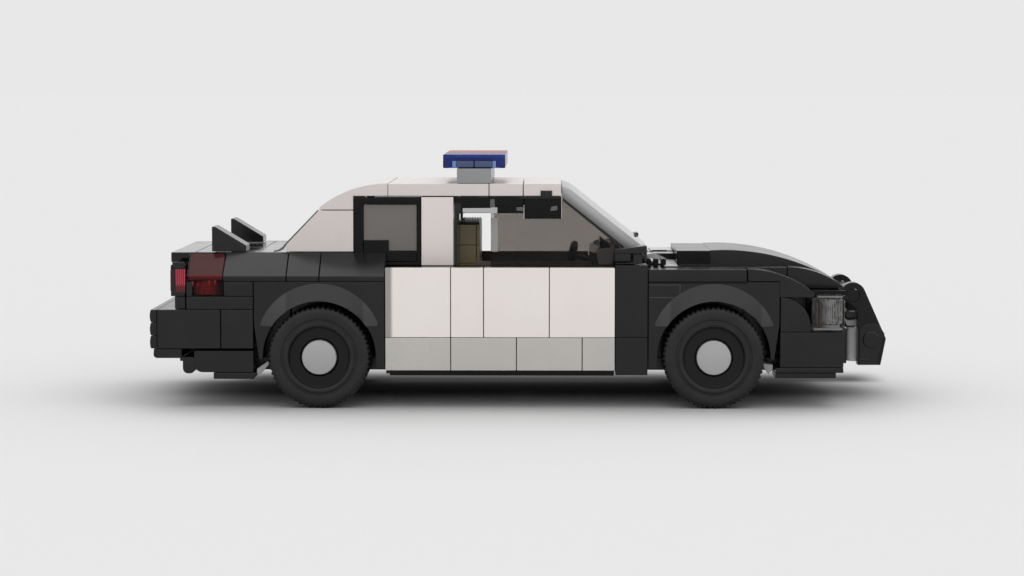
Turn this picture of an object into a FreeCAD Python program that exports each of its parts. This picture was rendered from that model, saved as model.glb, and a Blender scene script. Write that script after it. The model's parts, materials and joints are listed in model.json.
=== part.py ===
import FreeCAD, Part
import math
import os
import Sketcher

# A brick-built toy patrol car: a low two-tone saloon with white doors and roof on a black body,
# a light bar, a push bar and four wheels that turn freely on fixed pins.
# Frame: +X to the nose, +Z up, origin on the floor under the middle of the overall length.
# Nearly every piece lies on the building grid: `pitch` from stud to stud, `plate` high.

doc = FreeCAD.newDocument("toy_patrol_car")

# Driving dimensions in millimetres. Each one is written once, here.
SIZES = (
    # name, value, what it is
    ("pitch", "8.0", "distance from stud to stud"),
    ("plate", "3.2", "height of one plate"),
    ("seam", "0.1", "what every brick stands back from its cell of the grid"),
    ("wheelbase", "96.0", "rear axle to front axle"),
    ("rear_overhang", "41.3", "rear axle to the rear bumper's face"),
    ("front_overhang", "43.8", "front axle to the push bar's face"),
    ("push_reach", "11.8", "push bar's face to the bumper behind it"),
    ("body_half", "32.0", "half the width over the doors"),
    ("wheel_proud", "1.0", "how far the wheels stand outside the doors"),
    ("panel", "3.2", "thickness of a smooth outer panel"),
    ("axle_drop", "4.3", "underside of the base plate below the wheel centres"),
    ("door_lift", "1.1", "bottom edge of the doors above the underside"),
    ("belt_lift", "0.6", "how far the doors stand above the eighth plate"),
    ("window_tall", "16.9", "height of the side windows"),
    ("bar_gap", "0.5", "light bar above the plate that carries it"),
    ("bar_tall", "3.4", "height of the light bar"),
    ("bar_long", "15.45", "length of the light bar along the car"),
    ("bar_half", "23.0", "half the light bar's width across the car"),
    ("bar_wall", "1.5", "wall of the hollow light bar"),
    ("glass", "1.2", "thickness of the glazing"),
    ("frame_bar", "2.2", "width of the window frames and screen pillars"),
    ("beam_tall", "4.0", "height of the beams under the roof's edge"),
    ("lip_lift", "0.4", "foot of the shoulders above the seventh plate"),
    ("top_drop", "0.3", "flat tops beside the hood below the belt"),
    ("column_lift", "0.7", "door columns above the belt"),
    ("mirror_tall", "4.0", "height of a mirror block"),
    ("mirror_wide", "5.6", "width of a mirror block"),
    ("pillar_heel", "1.8", "upright heel of the rear pillars and the rear window"),
    ("roof_back", "0.6", "blunt rear edge of the roof's curve"),
    ("screen_drop", "0.7", "head of the windscreen below the roof"),
    ("screen_bend", "2.8", "length of the windscreen's flatter head along the car"),
    ("screen_fall", "1.1", "how far the windscreen's head falls before its bend"),
    ("screen_deep", "4.9", "depth of the windscreen's side rails along the car"),
    ("shelf_rise", "2.7", "sides of the rear shelf above the deck"),
    ("box_drop", "1.4", "how far the front roof beams hang below the others"),
    ("helm_radius", "3.36", "radius of the steering wheel's ring"),
    ("helm_ring", "0.9", "radius of the ring's own section"),
    ("helm_column", "1.28", "radius of the steering column"),
    ("helm_reach", "4.4", "length of the steering column"),
    ("boot_lip", "2.5", "thickness of the boot's rear lip"),
    ("fin_low", "1.6", "height of a fin's front edge"),
    ("fin_high", "6.2", "height of a fin's rear edge"),
    ("slope_edge", "1.3", "upright lower edge of the shoulder slopes"),
    ("lens_rim", "1.4", "frame above and below a tail lens"),
    ("tail_inset", "1.0", "how far the plate under the tail panel stands back at its ends"),
    ("rib_deep", "1.7", "depth of the rear bumper's ribs"),
    ("rib_bulge", "0.25", "bulge of each rib"),
    ("under_inset", "0.6", "how far the plates under the rear bumper stand back at the sides"),
    ("under_tooth", "1.9", "height of the teeth under the rear bumper"),
    ("under_lift", "0.9", "underside of the rear corners above the base plate's"),
    ("under_keel", "2.1", "height of the lowest plates behind the rear wheels"),
    ("arch_toe", "1.2", "how far an arch's outer leg narrows to its foot"),
    ("arch_foot", "1.5", "foot of an arch's door leg above the base plate's underside"),
    ("arch_chin", "0.5", "foot of an arch's outer leg below the wheel centre"),
    ("flare_proud", "0.3", "how far a flare stands outside its wheel"),
    ("flare_outer", "1.75", "a flare's outer edge beyond the wheel well"),
    ("flare_wide", "4.2", "a flare's width, from its outer edge to its rim"),
    ("flare_rise", "2.6", "centre of a flare above the wheel's"),
    ("flare_foot", "7.6", "foot of a flare above the wheel's centre"),
    ("nose_rise", "4.2", "height of the front bumper above the second plate"),
    ("grille_lift", "0.7", "top of the grille above the sixth plate"),
    ("lamp_drop", "1.0", "headlamps under the tips of the fender tops, below the grille's top"),
    ("corner_drop", "0.9", "top of the nose corners below the grille's"),
    ("corner_edge", "0.8", "upright front edge of a nose corner"),
    ("band_lift", "1.9", "front bumper's lower edge above the base plate's underside"),
    ("band_tall", "1.3", "height of the band under the front bumper"),
    ("chin_tall", "1.4", "height of the chin under that band"),
    ("chin_inset", "1.0", "how far the chin stands back at the sides"),
    ("push_deep", "7.0", "depth of the push bar's uprights"),
    ("push_foot", "0.9", "foot of the uprights above the base plate's underside"),
    ("push_toe", "1.3", "how far the uprights' toes stand back from their face"),
    ("boss_back", "3.7", "lower cross bar behind the push bar's face"),
    ("boss_up", "7.0", "lower cross bar above the base plate's underside"),
    ("head_back", "8.3", "upper cross bar behind the push bar's face"),
    ("head_up", "18.3", "upper cross bar above the base plate's underside"),
    ("clip_up", "10.1", "clips above the base plate's underside"),
    ("clip_tall", "3.9", "height of the clips"),
    ("post_up", "1.4", "foot of the grey posts above the base plate's underside"),
    ("post_tall", "8.6", "height of the grey posts"),
    ("support_long", "8.6", "length of the light bar's support along the car"),
    ("tyre_radius", "12.4", "outside radius of a tyre"),
    ("tread_edge", "1.4", "rounding of a tyre's shoulders"),
    ("rim_radius", "8.4", "outside radius of a rim, where the tyre sits"),
    ("dish_radius", "7.4", "radius of the rim's hollow face"),
    ("dish_depth", "2.4", "depth of the rim's hollow face"),
    ("cap_radius", "4.35", "radius of the round hub cap"),
    ("cap_thick", "1.4", "thickness of the hub cap"),
    ("wheel_width", "12.0", "width of a tyre"),
    ("pin_radius", "2.4", "radius of a wheel pin"),
    ("pin_fit", "0.06", "running clearance of a rim on its pin"),
    ("pin_wall", "1.6", "wall of a rim round and beyond its pin"),
    ("tyre_fit", "0.05", "clearance of a tyre on its rim"),
    ("well_gap", "1.35", "gap between a tyre and its arch"),
    ("arch_leg", "2.25", "thickness of an arch's legs"),
    ("stud_bore", "2.4", "radius of the sockets under the base, which take studs"),
    ("post_radius", "1.6", "radius of the grey posts behind the push bar"),
    ("boss_radius", "2.2", "radius of the push bar's lower cross bar"),
    ("head_radius", "3.2", "radius of the push bar's rounded heads"),
)

sheet = doc.addObject("Spreadsheet::Sheet", "sizes")
for row_number, (alias, amount, meaning) in enumerate(SIZES, start=1):
    sheet.set(f"A{row_number}", meaning)
    sheet.set(f"B{row_number}", amount)
    sheet.setAlias(f"B{row_number}", alias)
doc.recompute()


class Size:
    """A length that knows its value now and the spreadsheet expression that gives it."""

    def __init__(self, text, amount):
        self.text = text
        self.amount = float(amount)

    def __add__(self, other):
        other = size(other)
        return Size(f"({self.text} + {other.text})", self.amount + other.amount)

    def __sub__(self, other):
        other = size(other)
        return Size(f"({self.text} - {other.text})", self.amount - other.amount)

    def __mul__(self, other):
        other = size(other)
        return Size(f"({self.text} * {other.text})", self.amount * other.amount)

    def __truediv__(self, other):
        other = size(other)
        return Size(f"({self.text} / {other.text})", self.amount / other.amount)

    def __radd__(self, other):
        return size(other) + self

    def __rsub__(self, other):
        return size(other) - self

    def __rmul__(self, other):
        return size(other) * self

    def __neg__(self):
        return size(-1) * self


def size(thing):
    """Wraps a plain number, and leaves a Size as it is."""
    if isinstance(thing, Size):
        return thing
    return Size(repr(float(thing)), thing)


def cell(alias):
    """The Size held by one cell of the sheet."""
    return Size(f"sizes.{alias}", sheet.get(alias))


pitch = cell("pitch")
plate = cell("plate")
seam = cell("seam")
panel = cell("panel")
glass = cell("glass")
frame_bar = cell("frame_bar")
beam_tall = cell("beam_tall")
tyre_radius = cell("tyre_radius")
rim_radius = cell("rim_radius")
pin_radius = cell("pin_radius")
well_radius = tyre_radius + cell("well_gap")

# Lengths: the axles, the ends, and the four ends of the wheel arches
rear_axle = (cell("rear_overhang") - cell("front_overhang") - cell("wheelbase")) / 2
front_axle = rear_axle + cell("wheelbase")
tail_x = rear_axle - cell("rear_overhang")
nose_x = front_axle + cell("front_overhang")
arch_half = well_radius + cell("arch_leg")

# Widths, as distances from the middle
body_half = cell("body_half")
cabin_half = body_half - pitch
hood_half = cabin_half - pitch
wheel_face = body_half + cell("wheel_proud")
wheel_inner = wheel_face - cell("wheel_width")
chassis_half = wheel_inner - cell("well_gap")

# Heights above the floor
axle_height = tyre_radius
base_z = axle_height - cell("axle_drop")
floor_z = base_z + plate
bumper_z = base_z + 2 * plate
beam_top = base_z + 4 * plate
shoulder_z = base_z + 5 * plate
lip_z = base_z + 7 * plate + cell("lip_lift")
door_bottom = base_z + cell("door_lift")
door_seam = door_bottom + pitch + seam
belt_z = base_z + 8 * plate + cell("belt_lift")
deck_z = belt_z + plate + seam
glass_top = belt_z + cell("window_tall")
roof_bottom = glass_top + 2 * seam
roof_z = roof_bottom + plate - seam
bar_bottom = roof_z + plate + cell("bar_gap")
side_top = belt_z - cell("top_drop")
curve_bottom = glass_top - plate
bumper_top = bumper_z + cell("nose_rise")
grille_top = shoulder_z + plate + cell("grille_lift")
middle_y = size(0)

# Stations along the car count studs from an axle. Each stretch of the car holds a fixed number of
# studs, so its stations move with the sizes that bound it.
TAIL_STUDS = 3.1625
CABIN_STUDS = 7
NOSE_STUDS = 2
arch_stud = arch_half / 2
tail_stud = (cell("rear_overhang") - arch_half) / TAIL_STUDS
cabin_stud = (cell("wheelbase") - 2 * arch_half - pitch) / CABIN_STUDS
nose_stud = (cell("front_overhang") - cell("push_reach") - arch_half) / NOSE_STUDS


def aft(studs):
    """A station so many studs in front of the rear axle."""
    if studs < -2:
        return rear_axle - arch_half + (studs + 2) * tail_stud
    if studs <= 2:
        return rear_axle + studs * arch_stud
    return rear_axle + arch_half + (studs - 2) * cabin_stud


def fore(studs):
    """A station so many studs in front of the front axle."""
    if studs < -3:
        return front_axle - arch_half - pitch + (studs + 3) * cabin_stud
    if studs < -2:
        return front_axle - arch_half + (studs + 2) * pitch
    if studs <= 2:
        return front_axle + studs * arch_stud
    return front_axle + arch_half + (studs - 2) * nose_stud


# Lean of the steering column from upright, and where the push bar's heads turn into their
# sloping fronts, above level; both in degrees
STEERING_RAKE = 65
HEAD_LEAN = 20

# The windscreen's outer face runs from its foot on the cowl to its head at the roof (x, z)
screen_foot = (fore(-1.9), deck_z + seam)
screen_head = (aft(7.38) + seam, roof_z - cell("screen_drop"))
screen_bend = (screen_head[0] + cell("screen_bend"), screen_head[1] - cell("screen_fall"))
screen_slope = (screen_bend[1] - screen_foot[1]) / (screen_foot[0] - screen_bend[0])
screen_depth = 1.6 * glass


def bind(thing, **properties):
    """Ties properties of a document object to expressions over the sheet."""
    for name, amount in properties.items():
        thing.setExpression(name.replace("__", "."), size(amount).text)


def labelled(thing, label):
    """Gives a sub-part the label that names its file."""
    thing.Label = label
    return thing


def brick(x, y, z):
    """One rectangular brick in its cell of the grid, a seam smaller on every side."""
    gap = cell("seam")
    box = doc.addObject("Part::Box", "brick")
    bind(box, Length=x[1] - x[0] - 2 * gap, Width=y[1] - y[0] - 2 * gap, Height=z[1] - z[0] - gap)
    bind(box, Placement__Base__x=x[0] + gap, Placement__Base__y=y[0] + gap, Placement__Base__z=z[0])
    return box


def cylinder_y(x, y, z, radius, name="cylinder"):
    """A cylinder along the car's width, from y[0] to y[1]."""
    rod = doc.addObject("Part::Cylinder", name)
    rod.Placement = FreeCAD.Placement(FreeCAD.Vector(), FreeCAD.Rotation(FreeCAD.Vector(1, 0, 0), -90))
    bind(rod, Radius=radius, Height=y[1] - y[0])
    bind(rod, Placement__Base__x=x, Placement__Base__y=y[0], Placement__Base__z=z)
    return rod


def group(label, pieces):
    """Like pieces that stand apart, kept together as one sub-part."""
    if len(pieces) == 1:
        return labelled(pieces[0], label)
    compound = doc.addObject("Part::Compound", label)
    compound.Links = pieces
    return labelled(compound, label)


def bricks(label, rows):
    """A sub-part of bricks, one for each row of (x, y, z) ranges."""
    return group(label, [brick(*row) for row in rows])


def both_sides(rows):
    """Repeats rows of (x, y, z) ranges on the other side of the car."""
    return list(rows) + [(x, (-y[1], -y[0]), z) for x, y, z in rows]


def arc_centre(start, end, radius):
    """Centre of the short arc from start to end, on the left of that direction."""
    run = (end[0] - start[0], end[1] - start[1])
    chord = math.hypot(*run)
    height = math.sqrt(max(radius * radius - chord * chord / 4, 0.0))
    middle = ((start[0] + end[0]) / 2, (start[1] + end[1]) / 2)
    return (middle[0] - run[1] / chord * height, middle[1] + run[0] / chord * height)


def outline_sketch(body, role, outline):
    """A closed sketch through the corners (u, v) or (u, v, radius), anticlockwise.

    A radius makes the edge that leaves its corner a convex arc.
    """
    sketch = body.newObject("Sketcher::SketchObject", "outline")
    plane = [feature for feature in body.Origin.OriginFeatures if feature.Role == role][0]
    sketch.AttachmentSupport = (plane, [""])
    sketch.MapMode = "FlatFace"
    corners = [(size(corner[0]), size(corner[1])) for corner in outline]
    count = len(outline)
    for index, corner in enumerate(outline):
        start = (corners[index][0].amount, corners[index][1].amount)
        following = corners[(index + 1) % count]
        end = (following[0].amount, following[1].amount)
        if len(corner) == 3:
            radius = size(corner[2]).amount
            centre = arc_centre(start, end, radius)
            circle = Part.Circle(FreeCAD.Vector(*centre, 0), FreeCAD.Vector(0, 0, 1), radius)
            angles = [math.atan2(p[1] - centre[1], p[0] - centre[0]) for p in (start, end)]
            sketch.addGeometry(Part.ArcOfCircle(circle, *angles))
        else:
            points = [FreeCAD.Vector(*p, 0) for p in (start, end)]
            sketch.addGeometry(Part.LineSegment(*points))
    for index in range(count):
        sketch.addConstraint(Sketcher.Constraint("Coincident", index, 2, (index + 1) % count, 1))
    for index, corner in enumerate(outline):
        for kind, amount in zip(("DistanceX", "DistanceY"), corners[index]):
            tie = Sketcher.Constraint(kind, -1, 1, index, 1, amount.amount)
            number = sketch.addConstraint(tie)
            sketch.setExpression(f"Constraints[{number}]", amount.text)
        if len(corner) == 3:
            radius = size(corner[2])
            number = sketch.addConstraint(Sketcher.Constraint("Radius", index, radius.amount))
            sketch.setExpression(f"Constraints[{number}]", radius.text)
    return sketch


def across(outline, y, name="slab"):
    """A slab with an (x, z) outline that runs across the car from y[0] to y[1]."""
    body = doc.addObject("PartDesign::Body", name)
    sketch = outline_sketch(body, "XZ_Plane", outline)
    bind(sketch, AttachmentOffset__Base__z=-y[1])
    pad = body.newObject("PartDesign::Pad", "pad")
    pad.Profile = sketch
    bind(pad, Length=y[1] - y[0])
    return body


def along(outline, x, name="bar"):
    """A bar with a (y, z) outline that runs along the car from x[0] to x[1]."""
    body = doc.addObject("PartDesign::Body", name)
    sketch = outline_sketch(body, "YZ_Plane", outline)
    bind(sketch, AttachmentOffset__Base__z=x[0])
    pad = body.newObject("PartDesign::Pad", "pad")
    pad.Profile = sketch
    bind(pad, Length=x[1] - x[0])
    return body


def across_both(outline, y):
    """The same slab on both sides of the car."""
    return [across(outline, y), across(outline, (-y[1], -y[0]))]


def along_both(outline, x):
    """A bar and its mirror image on the other side of the car."""
    mirrored = [(-corner[0],) + tuple(corner[1:]) for corner in reversed(outline)]
    return [along(outline, x), along(mirrored, x)]


def spun(outline, x, z, side, name):
    """A ring with a (distance from the car's middle, radius) outline about a wheel's axle."""
    body = doc.addObject("PartDesign::Body", name)
    sketch = outline_sketch(body, "XY_Plane", outline)
    ring = body.newObject("PartDesign::Revolution", "ring")
    ring.Profile = sketch
    ring.ReferenceAxis = (sketch, ["H_Axis"])
    ring.Angle = 360
    turn = FreeCAD.Rotation(FreeCAD.Vector(0, 0, 1), 90 * side)
    body.Placement = FreeCAD.Placement(FreeCAD.Vector(), turn)
    bind(body, Placement__Base__x=x, Placement__Base__z=z)
    return body


def cut(label, base, tools):
    """A piece with others taken out of it."""
    tool = tools[0]
    if len(tools) > 1:
        tool = doc.addObject("Part::MultiFuse", "tools")
        tool.Shapes = tools
    result = doc.addObject("Part::Cut", label)
    result.Base = base
    result.Tool = tool
    return result


def level_arc(run, drop):
    """Radius of an arc that starts level and falls by `drop` over `run`."""
    return (run * run + drop * drop) / (2 * drop)


SUBPARTS = []


def subpart(thing):
    """Notes a finished sub-part for export."""
    SUBPARTS.append(thing)
    return thing


# Wheels: a rubber tyre, a rim that turns on the car's pin, and a round cap on the rim

def wheel(corner, axle_x, side):
    """One wheel; side is -1 on the car's right and +1 on its left."""
    inner = wheel_inner
    outer = wheel_face
    edge = cell("tread_edge")
    bead = rim_radius + cell("tyre_fit")
    tyre = spun((
        (inner, bead),
        (outer, bead),
        (outer, tyre_radius - edge, edge),
        (outer - edge, tyre_radius),
        (inner + edge, tyre_radius, edge),
        (inner, tyre_radius - edge),
    ), axle_x, axle_height, side, "tyre_" + corner)
    subpart(labelled(tyre, "tyre_" + corner))

    bore = pin_radius + cell("pin_fit")
    wall = cell("pin_wall")
    face = outer - 5 * seam
    back = inner + 5 * seam
    dish = outer - cell("dish_depth")
    rim = spun((
        (back, bore),
        (dish - wall, bore),
        (dish - wall, 0.0),
        (face - wall, 0.0),
        (face - wall, cell("cap_radius")),
        (dish, cell("cap_radius") + 6 * seam),
        (face, cell("dish_radius")),
        (face, rim_radius),
        (back, rim_radius),
        (back, rim_radius - wall),
        (dish - 2 * wall, rim_radius - wall),
        (dish - 2 * wall, bore + wall),
        (back, bore + wall),
    ), axle_x, axle_height, side, "rim_" + corner)
    subpart(labelled(rim, "rim_" + corner))

    cap = (face - wall + seam, face - wall + seam + cell("cap_thick"))
    if side < 0:
        cap = (-cap[1], -cap[0])
    disc = cylinder_y(axle_x, cap, axle_height, cell("cap_radius"), "hub_cap_" + corner)
    subpart(labelled(disc, "hub_cap_" + corner))


def wheels():
    """One wheel at each end of both axles."""
    for end, axle_x in (("rear", rear_axle), ("front", front_axle)):
        for hand, side in (("right", -1), ("left", 1)):
            wheel(f"{end}_{hand}", axle_x, side)


# Underside: base plates, and the beams that carry the wheel pins

def chassis():
    """Plates from end to end, narrow between the wheels, with four sockets that take studs."""
    z = (base_z, floor_z)
    wide = (panel - body_half, body_half - panel)
    narrow = (-chassis_half, chassis_half)
    plates = [
        brick((aft(2), fore(-3)), wide, z),
        brick((fore(-3), fore(-2)), (-cabin_half, cabin_half), z),
        brick((aft(-4), aft(-1)), narrow, z),
        brick((aft(1), aft(2)), narrow, z),
        brick((fore(-2), fore(-1)), narrow, z),
        brick((fore(1), fore(3)), narrow, z),
    ]
    bores = []
    half = pitch / 2
    for x in (aft(6) - half, aft(6) + half):
        for y in (-half, half):
            bore = doc.addObject("Part::Cylinder", "stud_bore")
            bind(bore, Radius=cell("stud_bore"), Height=2 * plate, Placement__Base__x=x)
            bind(bore, Placement__Base__y=y, Placement__Base__z=base_z - plate / 2)
            bores.append(bore)
    floor = cut("floor_plate", plates[0], bores)
    subpart(group("chassis_plates", [floor] + plates[1:]))


def axle_beams():
    """Each beam crosses the car under its axle and ends in two fixed pins."""
    beams = []
    pin_end = wheel_face - cell("dish_depth") - cell("pin_wall") - 4 * seam
    for axle_x in (rear_axle, front_axle):
        beam_x = (axle_x - arch_stud, axle_x + arch_stud)
        beam = brick(beam_x, (-chassis_half, chassis_half), (base_z, beam_top))
        pin = cylinder_y(axle_x, (-pin_end, pin_end), axle_height, pin_radius, "pin")
        whole = doc.addObject("Part::Fuse", "beam")
        whole.Base = beam
        whole.Tool = pin
        beams.append(whole)
    subpart(group("axle_beams", beams))


def cores():
    """The hidden stacks of bricks that carry the boot, the hood and the ends."""
    boot_bottom = deck_z - plate
    narrow = (-chassis_half, chassis_half)
    hood_wide = (-hood_half, hood_half)
    rows = [
        ((aft(-4), aft(-3)), narrow, (shoulder_z, boot_bottom)),
        ((aft(-3), aft(-1)), narrow, (floor_z, boot_bottom)),
        ((aft(-1), aft(1)), narrow, (beam_top, boot_bottom)),
        ((fore(-2), fore(-1)), narrow, (floor_z, lip_z)),
        ((fore(-1), fore(1)), narrow, (beam_top, lip_z)),
        ((fore(-1), fore(1.9)), hood_wide, (lip_z, boot_bottom)),
        ((fore(1), fore(3)), hood_wide, (floor_z, shoulder_z + plate)),
    ]
    subpart(bricks("body_cores", rows))


# Doors and cabin sides

def doors():
    """Two rows of smooth panels on each side, over an inner wall of bricks."""
    upper = (aft(2), aft(4), aft(5), aft(7), fore(-3))
    lower = (aft(2), aft(4), aft(6), aft(8), fore(-3))
    skin = (body_half - panel, body_half)
    for label, stations, z in (
        ("door_panels_upper", upper, (door_seam, belt_z)),
        ("door_panels_lower", lower, (door_bottom, door_seam)),
    ):
        rows = [((start, end), skin, z) for start, end in zip(stations, stations[1:])]
        subpart(bricks(label, both_sides(rows)))
    wall = (cabin_half, body_half - panel)
    rows = [((start, end), wall, (floor_z, belt_z))
            for start, end in ((aft(2), aft(5)), (aft(5), fore(-3)))]
    subpart(bricks("door_inner_walls", both_sides(rows)))


def door_columns():
    """Black columns between the doors and the front wheels, with a mirror block above each."""
    x = (fore(-3), fore(-2))
    y = (cabin_half, body_half)
    column_top = belt_z + cell("column_lift")
    rows = [(x, y, (base_z, door_seam)), (x, y, (door_seam, column_top))]
    subpart(bricks("door_columns", both_sides(rows)))
    mirror_y = (body_half - cell("mirror_wide"), body_half)
    mirror_z = (column_top + 2 * seam, column_top + 2 * seam + cell("mirror_tall"))
    subpart(bricks("mirrors", both_sides([((fore(-3), fore(-2.1)), mirror_y, mirror_z)])))


# Greenhouse

def pillars():
    """Upright pillars between the side windows, and raked ones behind the cabin."""
    inner = cabin_half - pitch
    b_rows = [((aft(3.06), aft(4.07)), (inner, cabin_half), (belt_z, glass_top))]
    subpart(bricks("b_pillars", both_sides(b_rows)))
    foot = deck_z + seam
    head = curve_bottom - 2 * seam
    c_outline = (
        (aft(-1.07), foot),
        (aft(0.98), foot),
        (aft(0.98), head),
        (aft(-0.08), head),
        (aft(-1.07), foot + cell("pillar_heel")),
    )
    subpart(group("c_pillars", across_both(c_outline, (inner, cabin_half))))


def rear_curve():
    """The roof's rear end, which falls in a curve to the top of the rear window."""
    run = aft(2.04) - aft(-0.06)
    drop = roof_z - curve_bottom - cell("roof_back")
    outline = (
        (aft(-0.06), curve_bottom),
        (aft(0.98), curve_bottom),
        (aft(0.98), roof_bottom),
        (aft(2.04), roof_bottom),
        (aft(2.04), roof_z, level_arc(run, drop)),
        (aft(-0.06), roof_z - drop),
    )
    subpart(group("roof_rear_curve", [across(outline, (-cabin_half, cabin_half))]))


def roof():
    """The flat roof, and the beams under its edges."""
    z = (roof_bottom, roof_z)
    wide = (-cabin_half, cabin_half)
    stations = (aft(2.04), aft(5.15), aft(6.2), aft(7.38))
    subpart(bricks("roof_panels", [((start, end), wide, z) for start, end in zip(stations, stations[1:])]))
    beam_y = (cabin_half - pitch / 2, cabin_half)
    beam_z = glass_top - beam_tall
    rows = [
        ((aft(4.07), aft(6.22)), beam_y, (beam_z, glass_top)),
        ((aft(6.22), aft(7.38)), beam_y, (beam_z - cell("box_drop"), glass_top)),
    ]
    subpart(bricks("roof_beams", both_sides(rows)))


def rear_side_windows():
    """A pane in a black frame between the two pillars of each side."""
    x = (aft(0.98) + seam, aft(3.06) - seam)
    z = (belt_z + seam, glass_top - seam)
    rim = frame_bar / 3
    top = 0.75 * frame_bar
    frames = []
    for y in ((cabin_half - frame_bar, cabin_half), (-cabin_half, frame_bar - cabin_half)):
        block = brick(x, y, z)
        hole = brick((x[0] + frame_bar, x[1] - rim), (y[0] - rim, y[1] + rim), (z[0] + rim, z[1] - top))
        frames.append(cut("frame", block, [hole]))
    subpart(group("rear_side_frames", frames))
    pane_y = (cabin_half - frame_bar / 2 - glass / 2, cabin_half - frame_bar / 2 + glass / 2)
    pane = [((x[0] + frame_bar + seam, x[1] - rim - seam), pane_y, (z[0] + rim + seam, z[1] - top - seam))]
    subpart(bricks("rear_side_windows", both_sides(pane)))


def rear_window():
    """Sloping glass between the two rear pillars."""
    half = cabin_half - pitch - seam
    foot = deck_z + seam
    head = curve_bottom - 2 * seam
    foot_x = aft(-1.07) + 3 * seam
    head_x = aft(-0.08) + 3 * seam
    outline = (
        (foot_x, foot),
        (foot_x + 2 * glass, foot),
        (head_x + 2 * glass, head),
        (head_x, head),
        (foot_x, foot + cell("pillar_heel")),
    )
    subpart(group("rear_window", [across(outline, (-half, half))]))


def raked_slab(back):
    """Outline of a slab that leans back from the cowl and bends to the roof; `back` is its depth along the car."""
    foot_x, foot_z = screen_foot
    head_x, head_z = screen_head
    return (
        (foot_x - back, foot_z),
        (foot_x, foot_z),
        screen_bend,
        (head_x, head_z),
        (head_x, foot_z + screen_slope * (foot_x - back - head_x)),
    )


def windscreen():
    """A raked clear screen between two clear side rails."""
    half = cabin_half - frame_bar
    rails = across_both(raked_slab(cell("screen_deep")), (half, cabin_half))
    subpart(group("windscreen_rails", rails))
    pane = across(raked_slab(screen_depth), (seam - half, half - seam))
    subpart(group("windscreen", [pane]))


def front_side_windows():
    """Side glass from the seat to the screen; the window beside the seat stays open."""
    sill = belt_z + seam
    dash = deck_z + seam
    low = glass_top - beam_tall - seam
    front_x = screen_foot[0] - cell("screen_deep") - 11 * seam
    head_x = screen_head[0]
    outline = (
        (aft(5.2), sill),
        (fore(-3), sill),
        (fore(-3), dash),
        (front_x, dash),
        (head_x, dash + screen_slope * (front_x - head_x)),
        (head_x, low - cell("box_drop")),
        (aft(6.22) - seam, low - cell("box_drop")),
        (aft(6.22) - seam, low),
        (aft(5.2), low),
    )
    outer = cabin_half - frame_bar - seam
    subpart(group("front_side_windows", across_both(outline, (outer - glass, outer))))
    side = (cabin_half - pitch / 2, cabin_half)
    z = (belt_z - plate, belt_z)
    rows = [((aft(2.05), aft(4.1)), side, z), ((aft(4.1), fore(-3.05)), side, z)]
    subpart(bricks("window_sills", both_sides(rows)))


# Cabin furniture

def furniture():
    """One seat in the middle, a bench with a shelf behind it, and the dashboard."""
    seat_z = floor_z + 2 * plate
    seat_y = (-1.5 * pitch, 1.5 * pitch)
    rows = [
        ((aft(4.9), aft(6.6)), seat_y, (floor_z, seat_z)),
        ((aft(4.1), aft(4.85)), seat_y, (floor_z, deck_z + 2 * plate)),
    ]
    subpart(bricks("front_seat", rows))
    inside = cabin_half - pitch / 2
    wide = (-inside, inside)
    rows = [
        ((aft(2.1), aft(3.9)), wide, (floor_z, seat_z)),
        ((aft(2.1), aft(2.9)), wide, (seat_z, belt_z)),
        ((aft(1.05), aft(2.05)), (plate - inside, inside - plate), (belt_z, deck_z)),
    ]
    edge = (inside - plate, inside)
    rows += both_sides([
        ((aft(1.05), aft(2.05)), edge, (belt_z, deck_z + cell("shelf_rise"))),
        ((aft(2.05), aft(2.95)), edge, (belt_z, deck_z)),
    ])
    subpart(bricks("rear_bench", rows))
    dash = [((fore(-3.7), fore(-2.35)), wide, (floor_z, deck_z - 2 * seam))]
    subpart(bricks("dashboard", dash))


def steering_wheel():
    """A ring on a raked column that ends just short of the dashboard."""
    rake = FreeCAD.Rotation(FreeCAD.Vector(0, 1, 0), STEERING_RAKE)
    lean = math.radians(STEERING_RAKE)
    helm = cell("helm_radius")
    reach = cell("helm_reach")
    column_end = reach * math.sin(lean) + cell("helm_column") * math.cos(lean)
    ring = doc.addObject("Part::Torus", "ring")
    hub = doc.addObject("Part::Cylinder", "hub")
    column = doc.addObject("Part::Cylinder", "column")
    bind(ring, Radius1=helm, Radius2=cell("helm_ring"))
    bind(hub, Radius=helm, Height=plate / 4)
    bind(column, Radius=cell("helm_column"), Height=reach)
    whole = doc.addObject("Part::MultiFuse", "steering_wheel")
    for piece in (ring, hub, column):
        piece.Placement = FreeCAD.Placement(FreeCAD.Vector(), rake)
        bind(piece, Placement__Base__x=fore(-3.7) - 2 * seam - column_end)
        bind(piece, Placement__Base__z=deck_z - plate)
    whole.Shapes = [ring, hub, column]
    subpart(labelled(whole, "steering_wheel"))


# Boot and tail

def boot():
    """The flat deck behind the cabin, with a fin on each side."""
    wide = (-cabin_half, cabin_half)
    z = (deck_z - plate, deck_z)
    rows = [
        ((aft(-4.64), aft(-3.89)), wide, (deck_z - cell("boot_lip"), deck_z)),
        ((aft(-3.89), aft(-2)), wide, z),
        ((aft(-2), aft(-1.07)), wide, z),
        ((aft(-1.07), aft(0.98)), wide, z),
    ]
    subpart(bricks("boot_deck", rows))
    outline = (
        (aft(-3.37), deck_z + seam),
        (aft(-2.32), deck_z + seam),
        (aft(-2.32), deck_z + cell("fin_low")),
        (aft(-3.27), deck_z + cell("fin_high")),
        (aft(-3.37), deck_z + cell("fin_high")),
    )
    fin = (cabin_half - pitch, cabin_half - seam)
    subpart(group("boot_fins", across_both(outline, fin)))


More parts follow.
